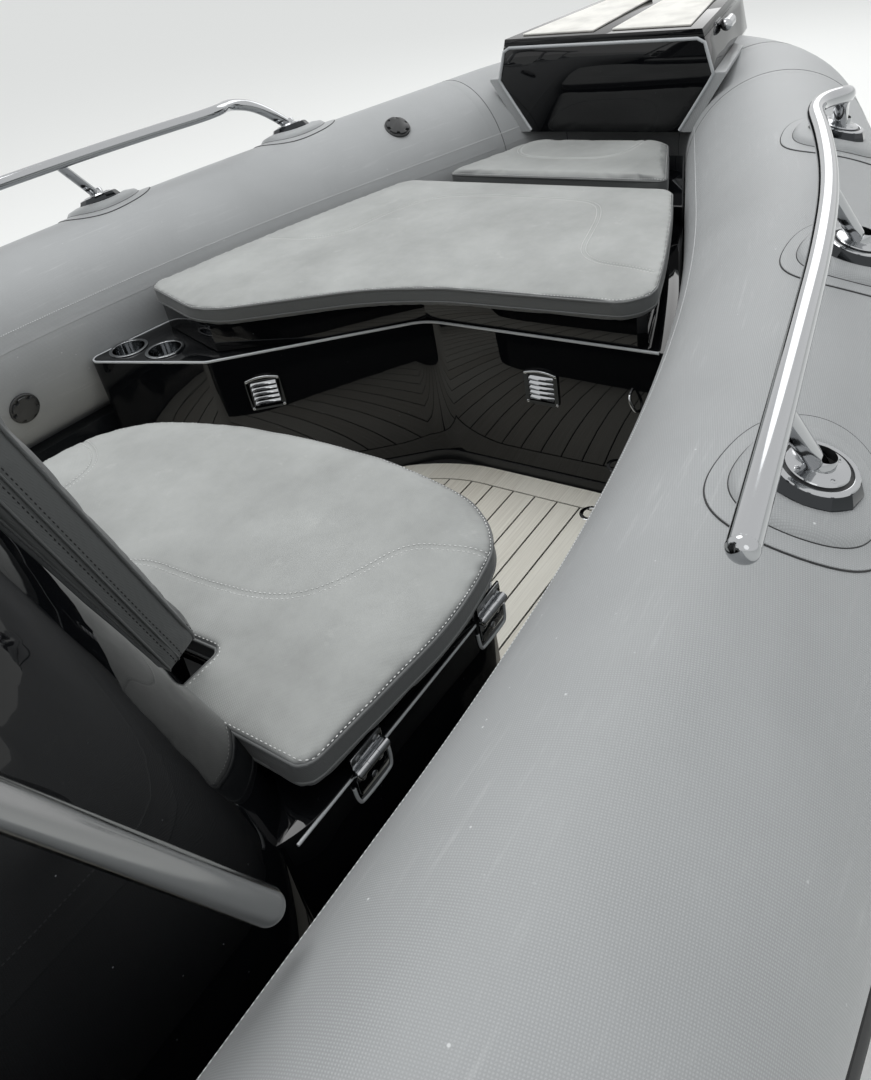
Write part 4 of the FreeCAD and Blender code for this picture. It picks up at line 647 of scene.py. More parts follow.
def make_vinyl(name, side_colour, painted_lit_top_colour, rib):
    """Embossed marine vinyl: a fine twill emboss, matt with a soft sheen, its upper faces dusty and painted
    lighter as painted top light.
    """
    tree, spot = new_finish(name)
    slant = add(tree, "ShaderNodeMapping", {"Vector": spot, "Rotation": (0.3, 0.3, math.radians(38))})
    twill = add(tree, "ShaderNodeTexWave", {"Vector": slant, "Scale": wave_scale(rib), "Distortion": 0.4,
                                            "Detail": 1.0}, bands_direction="X").outputs["Fac"]
    cross = add(tree, "ShaderNodeTexWave", {"Vector": slant, "Scale": wave_scale(rib * 2)},
                bands_direction="Y").outputs["Fac"]
    emboss = add(tree, "ShaderNodeMath", {0: twill, 1: cross}, operation="MULTIPLY")
    cloud = add(tree, "ShaderNodeTexNoise", {"Vector": spot, "Scale": 5.0, "Detail": 7.0, "Roughness": 0.65})
    dust = add(tree, "ShaderNodeTexNoise", {"Vector": spot, "Scale": 17.0, "Detail": 8.0, "Roughness": 0.72})
    tone = mixed(tree, ramp(tree, cloud, 0.28, 0.7), toned(painted_lit_top_colour, 0.76), toned(painted_lit_top_colour, 1.14))
    film = add(tree, "ShaderNodeMath", {0: ramp(tree, dust, 0.6, 0.8), 1: 0.4}, operation="MULTIPLY")
    dust_and_painted_top_light = mixed(tree, film, tone, linear("#d2d3d0"))
    bump = add(tree, "ShaderNodeBump", {"Height": emboss, "Strength": 0.4, "Distance": 0.0004})
    soft = add(tree, "ShaderNodeBump", {"Height": cloud, "Strength": 0.25, "Distance": 0.004, "Normal": bump})
    # upper faces take the lighter colour: painted top light, with dust on it
    principled(tree, {"Base Color": mixed(tree, painted_top_light_mask(tree, 0.68, 0.97), side_colour, dust_and_painted_top_light), "Normal": soft,
                      "Roughness": 0.55, "Sheen Weight": 0.15, "Sheen Roughness": 0.5})


def make_gelcoat(name, base_colour, roughness):
    """Sprayed and polished gelcoat: deep gloss with a faint ripple, dust specks and hairline wipe marks."""
    tree, spot = new_finish(name)
    ripple = add(tree, "ShaderNodeTexNoise", {"Vector": spot, "Scale": 9.0, "Detail": 2.0})
    cloud = add(tree, "ShaderNodeTexNoise", {"Vector": spot, "Scale": 2.2, "Detail": 5.0})
    grit = add(tree, "ShaderNodeTexVoronoi", {"Vector": spot, "Scale": 42.0})
    few = add(tree, "ShaderNodeMath", {0: ramp(tree, grit, 0.05, 0.02), 1: ramp(tree, cloud, 0.48, 0.6)},
              operation="MULTIPLY")
    rough = add(tree, "ShaderNodeMapRange", {"Value": cloud, "From Min": 0.3, "From Max": 0.75,
                                             "To Min": roughness * 0.5, "To Max": roughness * 1.6})
    bump = add(tree, "ShaderNodeBump", {"Height": ripple, "Strength": 0.05, "Distance": 0.004})
    principled(tree, {"Base Color": mixed(tree, few, base_colour, linear("#6d7072")), "Roughness": rough,
                      "Normal": bump, "IOR": 1.46})


def make_steel(name, base_colour, roughness, grain):
    """Stainless steel: polished or satin, with a fine drawn grain and faint water spots."""
    tree, spot = new_finish(name)
    spots = add(tree, "ShaderNodeTexNoise", {"Vector": spot, "Scale": 28.0, "Detail": 6.0})
    fine = add(tree, "ShaderNodeTexNoise", {"Vector": spot, "Scale": 1800.0, "Detail": 2.0})
    rough = add(tree, "ShaderNodeMapRange", {"Value": spots, "From Min": 0.3, "From Max": 0.8,
                                             "To Min": roughness, "To Max": roughness * 2.2})
    bump = add(tree, "ShaderNodeBump", {"Height": fine, "Strength": grain, "Distance": 0.0002})
    principled(tree, {"Base Color": base_colour, "Metallic": 1.0, "Roughness": rough, "Normal": bump})


def make_plastic(name, base_colour, roughness):
    """Injection-moulded plastic or rubber with a fine spark-eroded grain."""
    tree, spot = new_finish(name)
    grain = add(tree, "ShaderNodeTexNoise", {"Vector": spot, "Scale": 700.0, "Detail": 2.0})
    cloud = add(tree, "ShaderNodeTexNoise", {"Vector": spot, "Scale": 8.0, "Detail": 4.0})
    base = mixed(tree, ramp(tree, cloud, 0.4, 0.8), base_colour, toned(base_colour, 1.5, 0.004))
    bump = add(tree, "ShaderNodeBump", {"Height": grain, "Strength": 0.2, "Distance": 0.0003})
    principled(tree, {"Base Color": base, "Roughness": roughness, "Normal": bump})


def make_planks(deck):
    """Grooved deck foam with a brushed grain: each plank has its own tone."""
    tree, spot = new_finish("deck_planks")
    drawn = add(tree, "ShaderNodeMapping", {"Vector": spot, "Scale": (5, 260, 1)})
    grain = add(tree, "ShaderNodeTexNoise", {"Vector": drawn, "Scale": 1.0, "Detail": 6.0, "Roughness": 0.7})
    across = add(tree, "ShaderNodeSeparateXYZ", {"Vector": spot}).outputs["Y"]
    row = add(tree, "ShaderNodeMath", {0: across, 1: deck.width}, operation="DIVIDE")
    index = add(tree, "ShaderNodeMath", {0: row}, operation="ROUND")
    chance = add(tree, "ShaderNodeTexWhiteNoise", {"W": index}, noise_dimensions="1D")
    tone = mixed(tree, ramp(tree, grain, 0.3, 0.72), deck.plank_dark, deck.plank)
    amount = add(tree, "ShaderNodeMath", {0: chance, 1: 0.4}, operation="MULTIPLY")
    bump = add(tree, "ShaderNodeBump", {"Height": grain, "Strength": 0.35, "Distance": 0.0006})
    principled(tree, {"Base Color": mixed(tree, amount, tone, toned(deck.plank, 1.25)), "Roughness": 0.75,
                      "Normal": bump})


def make_pad(deck):
    """Pale foam step pad with fine brushed lines."""
    tree, spot = new_finish("step_pad")
    lines = add(tree, "ShaderNodeTexWave", {"Vector": spot, "Scale": wave_scale(0.004)},
                bands_direction="Y").outputs["Fac"]
    cloud = add(tree, "ShaderNodeTexNoise", {"Vector": spot, "Scale": 12.0, "Detail": 5.0})
    base = mixed(tree, ramp(tree, cloud, 0.3, 0.6), toned(deck.pad, 0.8), deck.pad)
    bump = add(tree, "ShaderNodeBump", {"Height": lines, "Strength": 0.3, "Distance": 0.0005})
    principled(tree, {"Base Color": base, "Roughness": 0.7, "Normal": bump})


def make_display():
    """Switched-off display glass: nearly black, glossy, with a faint chart of depth lines behind it."""
    tree, spot = new_finish("display_glass")
    depth = add(tree, "ShaderNodeTexNoise", {"Vector": spot, "Scale": 14.0, "Detail": 2.0})
    rows = add(tree, "ShaderNodeMath", {0: depth, 1: 0.06}, operation="PINGPONG")
    base = mixed(tree, ramp(tree, rows, 0.006, 0.001), linear("#0b1014"), linear("#23313a"))
    principled(tree, {"Base Color": base, "Roughness": 0.08, "Coat Weight": 0.5})


def make_screen():
    """Tinted cast acrylic, clear and polished."""
    tree, spot = new_finish("tinted_acrylic")
    smear = add(tree, "ShaderNodeTexNoise", {"Vector": spot, "Scale": 6.0, "Detail": 4.0})
    rough = add(tree, "ShaderNodeMapRange", {"Value": smear, "To Min": 0.02, "To Max": 0.09})
    principled(tree, {"Base Color": linear("#2b2e31"), "Roughness": rough, "IOR": 1.49,
                      "Transmission Weight": 0.85})


class RIB_OT_materials(bpy.types.Operator):
    """Make the boat's finishes"""
    bl_idname = "rib.materials"
    bl_label = "Finishes"

    def execute(self, context):
        scene = context.scene
        tubes, cushions, trim, deck = scene.rib_tubes, scene.rib_cushions, scene.rib_trim, scene.rib_deck
        make_tube_fabric(tubes)
        make_seam_thread(tubes)
        # the cushions' upper faces are painted lighter than their sides: painted top light
        make_vinyl("marine_vinyl", cushions.vinyl, cushions.dust_and_painted_top_light, cushions.rib)
        # the welts' upper faces are painted a little lighter than their sides: painted top light
        make_vinyl("boxing_vinyl", cushions.vinyl, cushions.welt_painted_top_light, cushions.rib)
        make_plastic("seam_stitching", cushions.thread, 0.7)
        make_plastic("dark_stitching", cushions.thread_dark, 0.7)
        make_gelcoat("black_gelcoat", trim.gelcoat, 0.025)
        # pale gelcoat for edge beads and rims: a painted highlight
        make_gelcoat("painted_highlight_gelcoat", trim.painted_highlight, 0.12)
        make_gelcoat("hull_gelcoat", trim.hull, 0.12)
        make_steel("polished_stainless", trim.steel, 0.05, 0.02)
        make_steel("satin_stainless", trim.satin, 0.13, 0.08)
        make_steel("black_chrome", linear("#3a3c3e"), 0.05, 0.02)
        make_steel("propeller_steel", trim.satin, 0.18, 0.1)
        make_plastic("moulded_plastic", trim.plastic, 0.42)
        make_plastic("valve_plastic", linear("#2b2c2d"), 0.33)
        make_plastic("strake_rubber", tubes.rubber, 0.6)
        make_plastic("deck_caulk", deck.caulk, 0.8)
        make_plastic("engine_paint", trim.engine, 0.35)
        make_gelcoat("cowl_paint", trim.engine, 0.08)
        make_plastic("cast_block", linear("#5c5d5f"), 0.5)
        make_planks(deck)
        make_pad(deck)
        make_display()
        make_screen()
        return {"FINISHED"}


# Tubes

def tube_shape():
    """Port tube with its tail cone."""
    sides = bpy.context.scene.rib_tubes.sides
    bm = bmesh.new()
    stand = Matrix.Translation((tail_x, tube_half, tube_z)) @ Matrix.Rotation(math.pi / 2, 4, "Y")
    ring = bmesh.ops.create_circle(bm, cap_ends=False, radius=tube_radius, segments=sides, matrix=stand)
    first = edges = list({e for v in ring["verts"] for e in v.link_edges})
    # how far aft of the cone's start each ring lies, and its radius as a share of the tube's
    tail = ((0.06, 0.985), (0.14, 0.93), (0.36, 0.56), (0.40, 0.44), (0.425, 0.26), (0.43, 0.0))
    last_share = 1.0
    place = 0.0
    for back, share in tail:
        edges, verts = new_edges(bmesh.ops.extrude_edge_only(bm, edges=edges)["geom"])
        bmesh.ops.translate(bm, vec=(place - back, 0, 0), verts=verts)
        centre = Matrix.Translation((-tail_x, -tube_half, -tube_z))
        grow = share / last_share
        bmesh.ops.scale(bm, vec=(1, grow, grow), space=centre, verts=verts)
        place = back
        last_share = max(share, 1e-3)
    sweep_bow(bm, first, tail_x)
    bmesh.ops.remove_doubles(bm, verts=bm.verts, dist=1e-6)
    bmesh.ops.recalc_face_normals(bm, faces=bm.faces)
    return bm


def strip(rows):
    """Thin strip of fabric or glue through rows of points."""
    bm = bmesh.new()
    lines = [[bm.verts.new(point) for point in row] for row in rows]
    edges = [[bm.edges.new(pair) for pair in zip(line, line[1:])] for line in lines]
    for a, b in zip(edges, edges[1:]):
        bmesh.ops.bridge_loops(bm, edges=a + b)
    bmesh.ops.recalc_face_normals(bm, faces=bm.faces)
    return bm


def tube_strip(angle_at, width, lift, end_x):
    """Strip along the tube from its tail, centred on an angle that varies along it."""
    count = int((end_x - tail_x) / 0.03)
    half = width / 2 / tube_radius
    # how far across the strip each point lies, and its lift
    section = ((-1.0, -0.0003), (-0.96, lift), (0.96, lift), (1.0, -0.0003))
    stations = [tail_x + (end_x - tail_x) * i / count for i in range(count + 1)]
    return strip([[tube_frame(x, angle_at(x) + half * a, h)[0] for a, h in section] for x in stations])


def ring_strip(x, width, lift):
    """Strip round the tube at a station."""
    rows = []
    for i in range(97):
        angle = math.radians(-168 + 3.5 * i)
        ahead = tube_frame(x, angle)[2]
        rows.append([tube_frame(x, angle, h)[0] + ahead * (a * width / 2)
                     for a, h in ((-1.0, -0.0003), (-0.6, lift), (0.6, lift), (1.0, -0.0003))])
    return strip(rows)


def seam_angle(x):
    """Angle of the inner seam at a station, inboard of the crest."""
    rise = bpy.context.scene.rib_tubes.seam_z - tube_z - tube_rise * x
    return -math.acos(rise / tube_radius)


class RIB_OT_tubes(bpy.types.Operator):
    """Fabric tubes with their seams and the rub strake"""
    bl_idname = "rib.tubes"
    bl_label = "Tubes"

    def execute(self, context):
        for piece in twins("tube_skin", tube_shape, "tube_fabric",
                           ("tube_port", "tube_starboard")):
            tube_uv(piece.data)
        for piece in twins("inner_seam", lambda: tube_strip(seam_angle, 0.0016, 0.0006, 2.95), "seam_thread"):
            tube_uv(piece.data)
        for piece in twins("seam_tape", lambda: tube_strip(lambda x: seam_angle(x) - 0.085, 0.04, 0.0005,
                                                            2.95), "tube_fabric"):
            tube_uv(piece.data)
        for number, x in enumerate((-1.35, 2.77, 3.07)):
            twins("panel_seam_%d" % (number + 1), lambda: ring_strip(x, 0.0022, 0.0006), "strake_rubber")
            for piece in twins("panel_lap_%d" % (number + 1), lambda: ring_strip(x - 0.02, 0.038, 0.0005),
                               "tube_fabric"):
                tube_uv(piece.data)
        keep("rub_strake", "strake_rubber")
        return {"FINISHED"}


# Grab rails and valves

rail_bases = (0.957, 1.610, 2.224)
base_angle = math.radians(17.0)
rail_z = 0.924
# x and distance outboard of the tube axis along the rail
rail_line = ((0.632, 0.074), (0.80, 0.056), (1.047, 0.038), (1.30, 0.032), (1.56, 0.027), (1.80, 0.012),
             (1.98, -0.004))
post_lean = 0.09


def rail_point(x, out):
    """Point on the rail's line."""
    return Vector((x, axis_at(x)[0] + out, rail_z))


def patch_shape(x, angle):
    """Moulded fabric patch under a rail base, with a raised boot round the base."""
    bm = bmesh.new()
    # share of the patch's outline, and lift above the tube
    rings = ((1.0, 0.0), (0.988, 0.0022), (0.80, 0.0024), (0.775, 0.0030), (0.745, 0.0085), (0.705, 0.0125),
             (0.65, 0.0140), (0.60, 0.0150), (0.55, 0.0165), (0.515, 0.0170), (0.48, 0.0160), (0.44, 0.014))
    first = bmesh.ops.create_circle(bm, cap_ends=False, radius=1.0, segments=96)["verts"]
    edges = list({e for v in first for e in v.link_edges})
    place = 1.0
    heights = {v: rings[0][1] for v in first}
    for share, lift in rings[1:]:
        edges, verts = new_edges(bmesh.ops.extrude_edge_only(bm, edges=edges)["geom"])
        bmesh.ops.scale(bm, vec=(share / place, share / place, 1), verts=verts)
        heights.update({v: lift for v in verts})
        place = share
    for vert in bm.verts:
        vert.co = patch_point(x, angle, math.atan2(vert.co.y, vert.co.x), vert.co.xy.length, heights[vert])
    bmesh.ops.recalc_face_normals(bm, faces=bm.faces)
    return bm


def patch_point(x, angle, theta, share, lift):
    """Point of a patch: its bearing from the middle, and the share of the way to the outline."""
    reach = 0.128 + 0.011 * math.cos(2 * theta) + 0.005 * math.cos(3 * theta + 0.4) * share
    a, b = math.cos(theta) * share * reach, math.sin(theta) * share * reach
    return tube_frame(x + a * math.cos(axis_at(x)[1]), angle + b / tube_radius, lift)[0]


def patch_painted_shade_lines():
    """Dark line round each patch, partly its glue line and partly painted shade of its raised edge, and one
    at the foot of its boot that is painted shade.
    """
    bm = bmesh.new()
    for x in rail_bases:
        for share, lift, wide in ((1.0, 0.0003, 0.0014), (0.775, 0.0026, 0.0012)):
            line = [patch_point(x, base_angle, math.radians(5 * i), share, lift) for i in range(72)]
            bm.from_mesh(pipe_mesh(line, wide, 1, closed=True))
    return bm


def base_shape():
    """The three black faceted base rings of one rail."""
    bm = bmesh.new()
    profile = ((0.0615, 0.006), (0.0630, 0.011), (0.0618, 0.0145), (0.0540, 0.0262), (0.0525, 0.0272))
    for x in rail_bases:
        spot, out, ahead, _ = tube_frame(x, base_angle)
        lathe(bm, profile, 12, spot, out, ahead)
    return bm


def disc_shape():
    """The three polished shoulders and discs of one rail, with their screws and post sockets."""
    bm = bmesh.new()
    shoulder = ((0.0528, 0.0266), (0.0515, 0.0280), (0.0462, 0.0290), (0.0448, 0.0284), (0.0440, 0.0240))
    disc = ((0.0395, 0.0250), (0.0395, 0.0300), (0.0385, 0.0314), (0.0225, 0.0330), (0.0200, 0.0345),
            (0.0188, 0.044), (0.0170, 0.047))
    for x in rail_bases:
        spot, out, ahead, side = tube_frame(x, base_angle)
        lathe(bm, shoulder, 48, spot, out, ahead)
        lathe(bm, disc, 48, spot, out, ahead)
        for k in range(4):
            a = math.radians(45 + 90 * k)
            place = spot + (ahead * math.cos(a) + side * math.sin(a)) * 0.0305 + out * 0.0318
            screw(bm, place, out, ahead, 0.0042)
    return bm


def gasket_shape():
    """Black gaskets under the discs of one rail."""
    bm = bmesh.new()
    for x in rail_bases:
        spot, out, ahead, _ = tube_frame(x, base_angle)
        lathe(bm, ((0.0445, 0.0235), (0.0445, 0.0262), (0.0385, 0.0262)), 48, spot, out, ahead)
    return bm


def screw(bm, spot, out, ahead, radius):
    """Low domed screw head with a cross recess."""
    lathe(bm, ((radius, -0.001), (radius, 0.0002), (radius * 0.8, 0.0010), (radius * 0.35, 0.0014),
               (radius * 0.3, 0.0004), (0.0001, 0.0002)), 16, spot, out, ahead)


def rail_shape():
    """One grab rail with its posts."""
    line = [rail_point(x, out) for x, out in rail_line]
    foot, out, ahead, _ = tube_frame(rail_bases[2], base_angle, 0.03)
    line += [Vector((2.085, foot.y + 0.055, rail_z - 0.006)), Vector((2.17, foot.y + 0.014, 0.885)), foot]
    bm = bmesh.new()
    bm.from_mesh(pipe_mesh(line, 0.016, 12))
    cap = bmesh.ops.create_uvsphere(bm, u_segments=32, v_segments=16, radius=0.016)["verts"]
    bmesh.ops.scale(bm, vec=(0.75, 1, 1), verts=cap)
    bmesh.ops.translate(bm, vec=line[0], verts=cap)
    for x in rail_bases[:2]:
        foot, out, ahead, _ = tube_frame(x, base_angle, 0.03)
        half_run = [rail_point(px, po) for px, po in rail_line]
        top_x = x - post_lean
        for a, b in zip(half_run, half_run[1:]):
            if a.x <= top_x <= b.x:
                top = a + (b - a) * (top_x - a.x) / (b.x - a.x)
        bm.from_mesh(pipe_mesh([foot, foot + (top - foot) * 0.5, top], 0.0127, 8))
    return bm


def valve_shape(x, angle):
    """Round valve cap with six notches in its rim, on its ring."""
    bm = bmesh.new()
    spot, out, ahead, _ = tube_frame(x, math.radians(angle))
    lathe(bm, ((0.0405, -0.002), (0.0405, 0.0025), (0.039, 0.0045), (0.0365, 0.005), (0.036, 0.003),
               (0.012, 0.003)), 64, spot, out, ahead)
    cap = bmesh.ops.create_circle(bm, cap_ends=True, radius=0.0355, segments=144)["verts"]
    for vert in cap:
        theta = math.atan2(vert.co.y, vert.co.x)
        vert.co *= 1.0 - 0.22 * min(max((math.cos(6 * theta) - 0.45) / 0.2, 0.0), 1.0)
    face = next(f for f in bm.faces if set(f.verts) == set(cap))
    if face.normal.z < 0:
        face.normal_flip()
    upper = next(item for item in raised(bm, [face], 0.010) if isinstance(item, bmesh.types.BMFace))
    rounded(bm, list(upper.edges), 0.0015, 2, clamp=False)
    place_on(bm, [v for v in bm.verts if v.co.length < 0.06], spot, out, ahead)
    bmesh.ops.recalc_face_normals(bm, faces=bm.faces)
    return bm


class RIB_OT_rails(bpy.types.Operator):
    """Grab rails on their moulded bases, and the inflation valves"""
    bl_idname = "rib.rails"
    bl_label = "Rails and valves"

    def execute(self, context):
        for number, x in enumerate(rail_bases):
            for piece in twins("rail_patch_%d" % (number + 1), lambda: patch_shape(x, base_angle),
                               "tube_fabric"):
                tube_uv(piece.data)
                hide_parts("rail_patches")
        # dark lines round the patches: painted shade, the outer ones also glue lines
        twins("patch_painted_shade_lines", patch_painted_shade_lines, "strake_rubber")
        twins("rail_rings", base_shape, "black_chrome", smooth=20.0)
        twins("rail_gaskets", gasket_shape, "moulded_plastic")
        twins("rail_discs", disc_shape, "polished_stainless")
        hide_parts("rail_bases")
        twins("grab_rail_bar", rail_shape, "polished_stainless",
              ("grab_rail_port", "grab_rail_starboard"))
        twins("valve", lambda: valve_shape(1.077, -101.0), "valve_plastic")
        to_piece("valve_bow", valve_shape(2.464, -33.0), "valve_plastic")
        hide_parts("tube_valves")
        return {"FINISHED"}


# Cushions

def outline_points(corners, z):
    """Points of a rounded plan outline, in order."""
    bm = bmesh.new()
    face = plan_face(bm, corners, z)
    points = [v.co.copy() for v in face.verts]
    bm.free()
    return points


def grown(points, distance):
    """Closed outline moved outwards by a distance in plan."""
    area = sum(a.x * b.y - b.x * a.y for a, b in zip(points, points[1:] + points[:1]))
    sign = 1.0 if area > 0 else -1.0
    out = []
    for before, here, after in zip(points[-1:] + points[:-1], points, points[1:] + points[:1]):
        along = (after - before).normalized()
        out.append(here + Vector((along.y, -along.x, 0)) * distance * sign)
    return out


def inflate(piece, cap, voxel, floor_z):
    """Swell a closed shape with air pressure, as foam fills its cover."""
    remesh = piece.modifiers.new("Remesh", "REMESH")
    remesh.mode = "VOXEL"
    remesh.voxel_size = voxel
    piece.data = evaluated_mesh(piece)
    piece.modifiers.clear()
    rest = np.array([v.co for v in piece.data.vertices], float)
    cloth = piece.modifiers.new("Cloth", "CLOTH")
    cloth.settings.use_pressure = True
    cloth.settings.uniform_pressure_force = 4.0
    cloth.settings.effector_weights.gravity = 0.0
    cloth.settings.quality = 4
    cloth.settings.tension_stiffness = 25.0
    cloth.settings.compression_stiffness = 25.0
    for number in range(1, 21):
        bpy.context.scene.frame_set(number)
    moved = np.array([v.co for v in evaluated_mesh(piece).vertices], float)
    piece.modifiers.clear()
    bpy.context.scene.frame_set(1)
    shift = moved - rest
    reach = np.linalg.norm(shift, axis=1, keepdims=True)
    rest = rest + shift * np.minimum(1.0, cap / np.maximum(reach, 1e-9))
    rest[:, 2] = np.maximum(rest[:, 2], floor_z)
    piece.data.vertices.foreach_set("co", rest.astype(np.float32).ravel())
    piece.data.update()
    modifier = piece.modifiers.new("Subdivision", "SUBSURF")
    modifier.levels = modifier.render_levels = 1
    piece.data = evaluated_mesh(piece)
    piece.modifiers.clear()


def groove(piece, line, width, depth, above):
    """Press a seam into the upper side of a cushion."""
    mesh = piece.data
    spots = np.array([v.co for v in mesh.vertices], float)
    near = np.full(len(spots), 1e9)
    for a, b in zip(line, line[1:]):
        start = np.array(a[:2])
        run = np.array(b[:2]) - start
        share = np.clip(((spots[:, :2] - start) @ run) / max(run @ run, 1e-12), 0, 1)
        gap = np.linalg.norm(spots[:, :2] - start - share[:, None] * run, axis=1)
        near = np.minimum(near, gap)
    drop = depth * np.exp(-(near / width) ** 2)
    spots[:, 2] -= np.where(spots[:, 2] > above, drop, 0.0)
    mesh.vertices.foreach_set("co", spots.astype(np.float32).ravel())
    mesh.update()


def surface_of(piece):
    """Tree of a piece's faces to find places on it."""
    return BVHTree.FromObject(piece, bpy.context.evaluated_depsgraph_get())


def laid(tree, line):
    """Points of a plan line dropped on a surface from well above it."""
    hits = [tree.ray_cast(Vector((point.x, point.y, 2.0)), Vector((0, 0, -1)))[0] for point in line]
    return [hit for hit in hits if hit is not None]


def stitch_row(bm, tree, line, settings):
    """One row of stitches along a line on a surface."""
    for spot, way in steps_between(line, settings.stitch_pitch):
        near = tree.find_nearest(spot)
        if near[0] is None:
            continue
        out = near[1]
        ahead = (way - out * way.dot(out)).normalized()
        verts = bmesh.ops.create_icosphere(bm, subdivisions=1, radius=1.0)["verts"]
        bmesh.ops.scale(bm, vec=(settings.stitch / 2, 0.0009, 0.0007), verts=verts)
        place_on(bm, verts, near[0] + out * 0.0003, out, ahead)


def offset_line(line, distance):
    """Open plan line moved sideways."""
    out = []
    for i, here in enumerate(line):
        along = (line[min(i + 1, len(line) - 1)] - line[max(i - 1, 0)]).normalized()
        out.append(here + Vector((-along.y, along.x, 0)) * distance)
    return out


def cushion(name, corners, low, high, body, node, seams=(), stand=None, thread="seam_stitching",
            side_row=0.0):
    """Boxed cushion with welts, edge stitching and double-stitched seams; stand turns it to its place."""
    settings = bpy.context.scene.rib_cushions
    bm = bmesh.new()
    face = plan_face(bm, corners, low)
    # the two sides and the rim of a large cushion stay within this many voxels
    most_voxels = 22000
    voxel = max(settings.voxel, math.sqrt(face.calc_area() * 2.4 / most_voxels))
    lift_face(bm, face, high - low - 0.003)
    rims = [e for e in bm.edges if abs(e.verts[0].co.z - e.verts[1].co.z) < 1e-6]
    rounded(bm, rims, 0.011, 3)
    bmesh.ops.triangulate(bm, faces=bm.faces)
    pad = to_piece(name, bm, "marine_vinyl", body, [node], smooth=None)
    inflate(pad, settings.swell, voxel, low)
    middle = (low + high) / 2
    lines = [smooth_line([Vector((x, y, high)) for x, y in seam]) for seam in seams]
    for line in lines:
        groove(pad, line, 0.006, 0.003, middle)
    ring = outline_points(corners, high)
    groove(pad, ring + ring[:1], 0.005, 0.002, high - 0.012)
    pad.data.shade_smooth()
    tree = surface_of(pad)
    welt_line = [tree.find_nearest(p + Vector((0, 0, -0.006)))[0] for p in grown(ring, -0.001)]
    base_line = [tree.find_nearest(Vector((p.x, p.y, low + 0.012)))[0] for p in ring]
    bars = [("_welt", welt_line, 1.0), ("_base_welt", base_line, 0.8)]
    bm = bmesh.new()
    inner = grown(ring, -stitch_inset)
    inner = laid(tree, inner + inner[:1])
    stitch_row(bm, tree, inner, settings)
    for line in lines:
        for way in (-0.0055, 0.0055):
            stitch_row(bm, tree, laid(tree, offset_line(line, way)), settings)
    if side_row:
        height = low + (high - low) * side_row
        row = [tree.find_nearest(Vector((p.x, p.y, height)))[0] for p in grown(ring, 0.02)]
        bars.append(("_side_seam", row, 0.6))
        for lift in (-0.006, 0.006):
            line = [tree.find_nearest(p + Vector((0, 0, lift)))[0] for p in row]
            stitch_row(bm, tree, line + line[:1], settings)
    made = [pad] + [pipe(name + label, line, settings.welt * share, "boxing_vinyl", body, sides=3,
                         closed=True) for label, line, share in bars]
    made.append(to_piece(name + "_stitches", bm, thread, body, smooth=None))
    if stand:
        for piece in made:
            piece.data.transform(stand)
    return pad


# plan corners of each cushion: x, y and setback of the rounding
bow_cushion_plan = ((2.297, -0.424, 0.045), (2.297, 0.424, 0.045), (2.09, 0.505, 0.0), (1.87, 0.580, 0.0),
                    (1.655, 0.642, 0.0), (1.445, 0.692, 0.045), (1.347, 0.40, 0.09), (1.602, -0.03, 0.16),
                    (1.630, -0.598, 0.05), (1.702, -0.628, 0.03), (1.87, -0.580, 0.0), (2.09, -0.505, 0.0))
small_cushion_plan = ((2.396, -0.368, 0.04), (2.396, 0.368, 0.04), (2.743, 0.234, 0.05),
                      (2.743, -0.234, 0.05))
seat_cushion_plan = ((0.402, -0.740, 0.03), (0.740, -0.770, 0.10), (0.915, -0.716, 0.10),
                     (0.992, -0.50, 0.12), (1.001, -0.268, 0.0), (0.992, -0.03, 0.12), (0.915, 0.18, 0.10),
                     (0.74, 0.232, 0.10), (0.402, 0.205, 0.03), (0.410, 0.036, 0.012),
                     (0.507, 0.034, 0.012), (0.507, -0.488, 0.012), (0.410, -0.490, 0.012))
bow_seams = (((1.784, 0.590), (1.784, 0.50), (1.795, 0.40), (1.85, 0.325), (1.95, 0.300), (2.05, 0.272),
              (2.135, 0.21), (2.163, 0.10), (2.163, -0.06), (2.160, -0.20), (2.140, -0.28), (2.06, -0.322),
              (1.96, -0.348), (1.865, -0.370), (1.815, -0.405), (1.785, -0.47), (1.785, -0.575)),)
small_seams = (((2.730, 0.225), (2.655, 0.226), (2.585, 0.205), (2.545, 0.15), (2.536, 0.04), (2.540, -0.07),
                (2.57, -0.135), (2.65, -0.160), (2.730, -0.160)),)
seat_seams = (((0.828, -0.735), (0.811, -0.68), (0.797, -0.63), (0.772, -0.606), (0.70, -0.580),
               (0.64, -0.540), (0.612, -0.48), (0.604, -0.40), (0.602, -0.33), (0.604, -0.25),
               (0.575, -0.19), (0.53, -0.17)),
              ((0.830, 0.205), (0.815, 0.15), (0.79, 0.10), (0.75, 0.072), (0.70, 0.068), (0.62, 0.075),
               (0.53, 0.085)))
stitch_inset = 0.0125
back_lean = math.radians(15.0)
back_thick = 0.075
back_half = 0.257


def standing(spot, lean=0.0):
    """Turns a cushion drawn in plan, its upper face then facing forward, upright at a spot."""
    up = Vector((-math.sin(lean), 0, math.cos(lean)))
    ahead = Vector((math.cos(lean), 0, math.sin(lean)))
    return Matrix.Translation(spot) @ Matrix((Vector((0, 1, 0)), up, ahead)).transposed().to_4x4()


def rectangle(width, height, setback, gap=0.002):
    """Plan corners of a cushion from the middle of its foot."""
    half = width / 2 - gap
    return [(-half, gap, setback), (half, gap, setback), (half, height - gap, setback),
            (-half, height - gap, setback)]


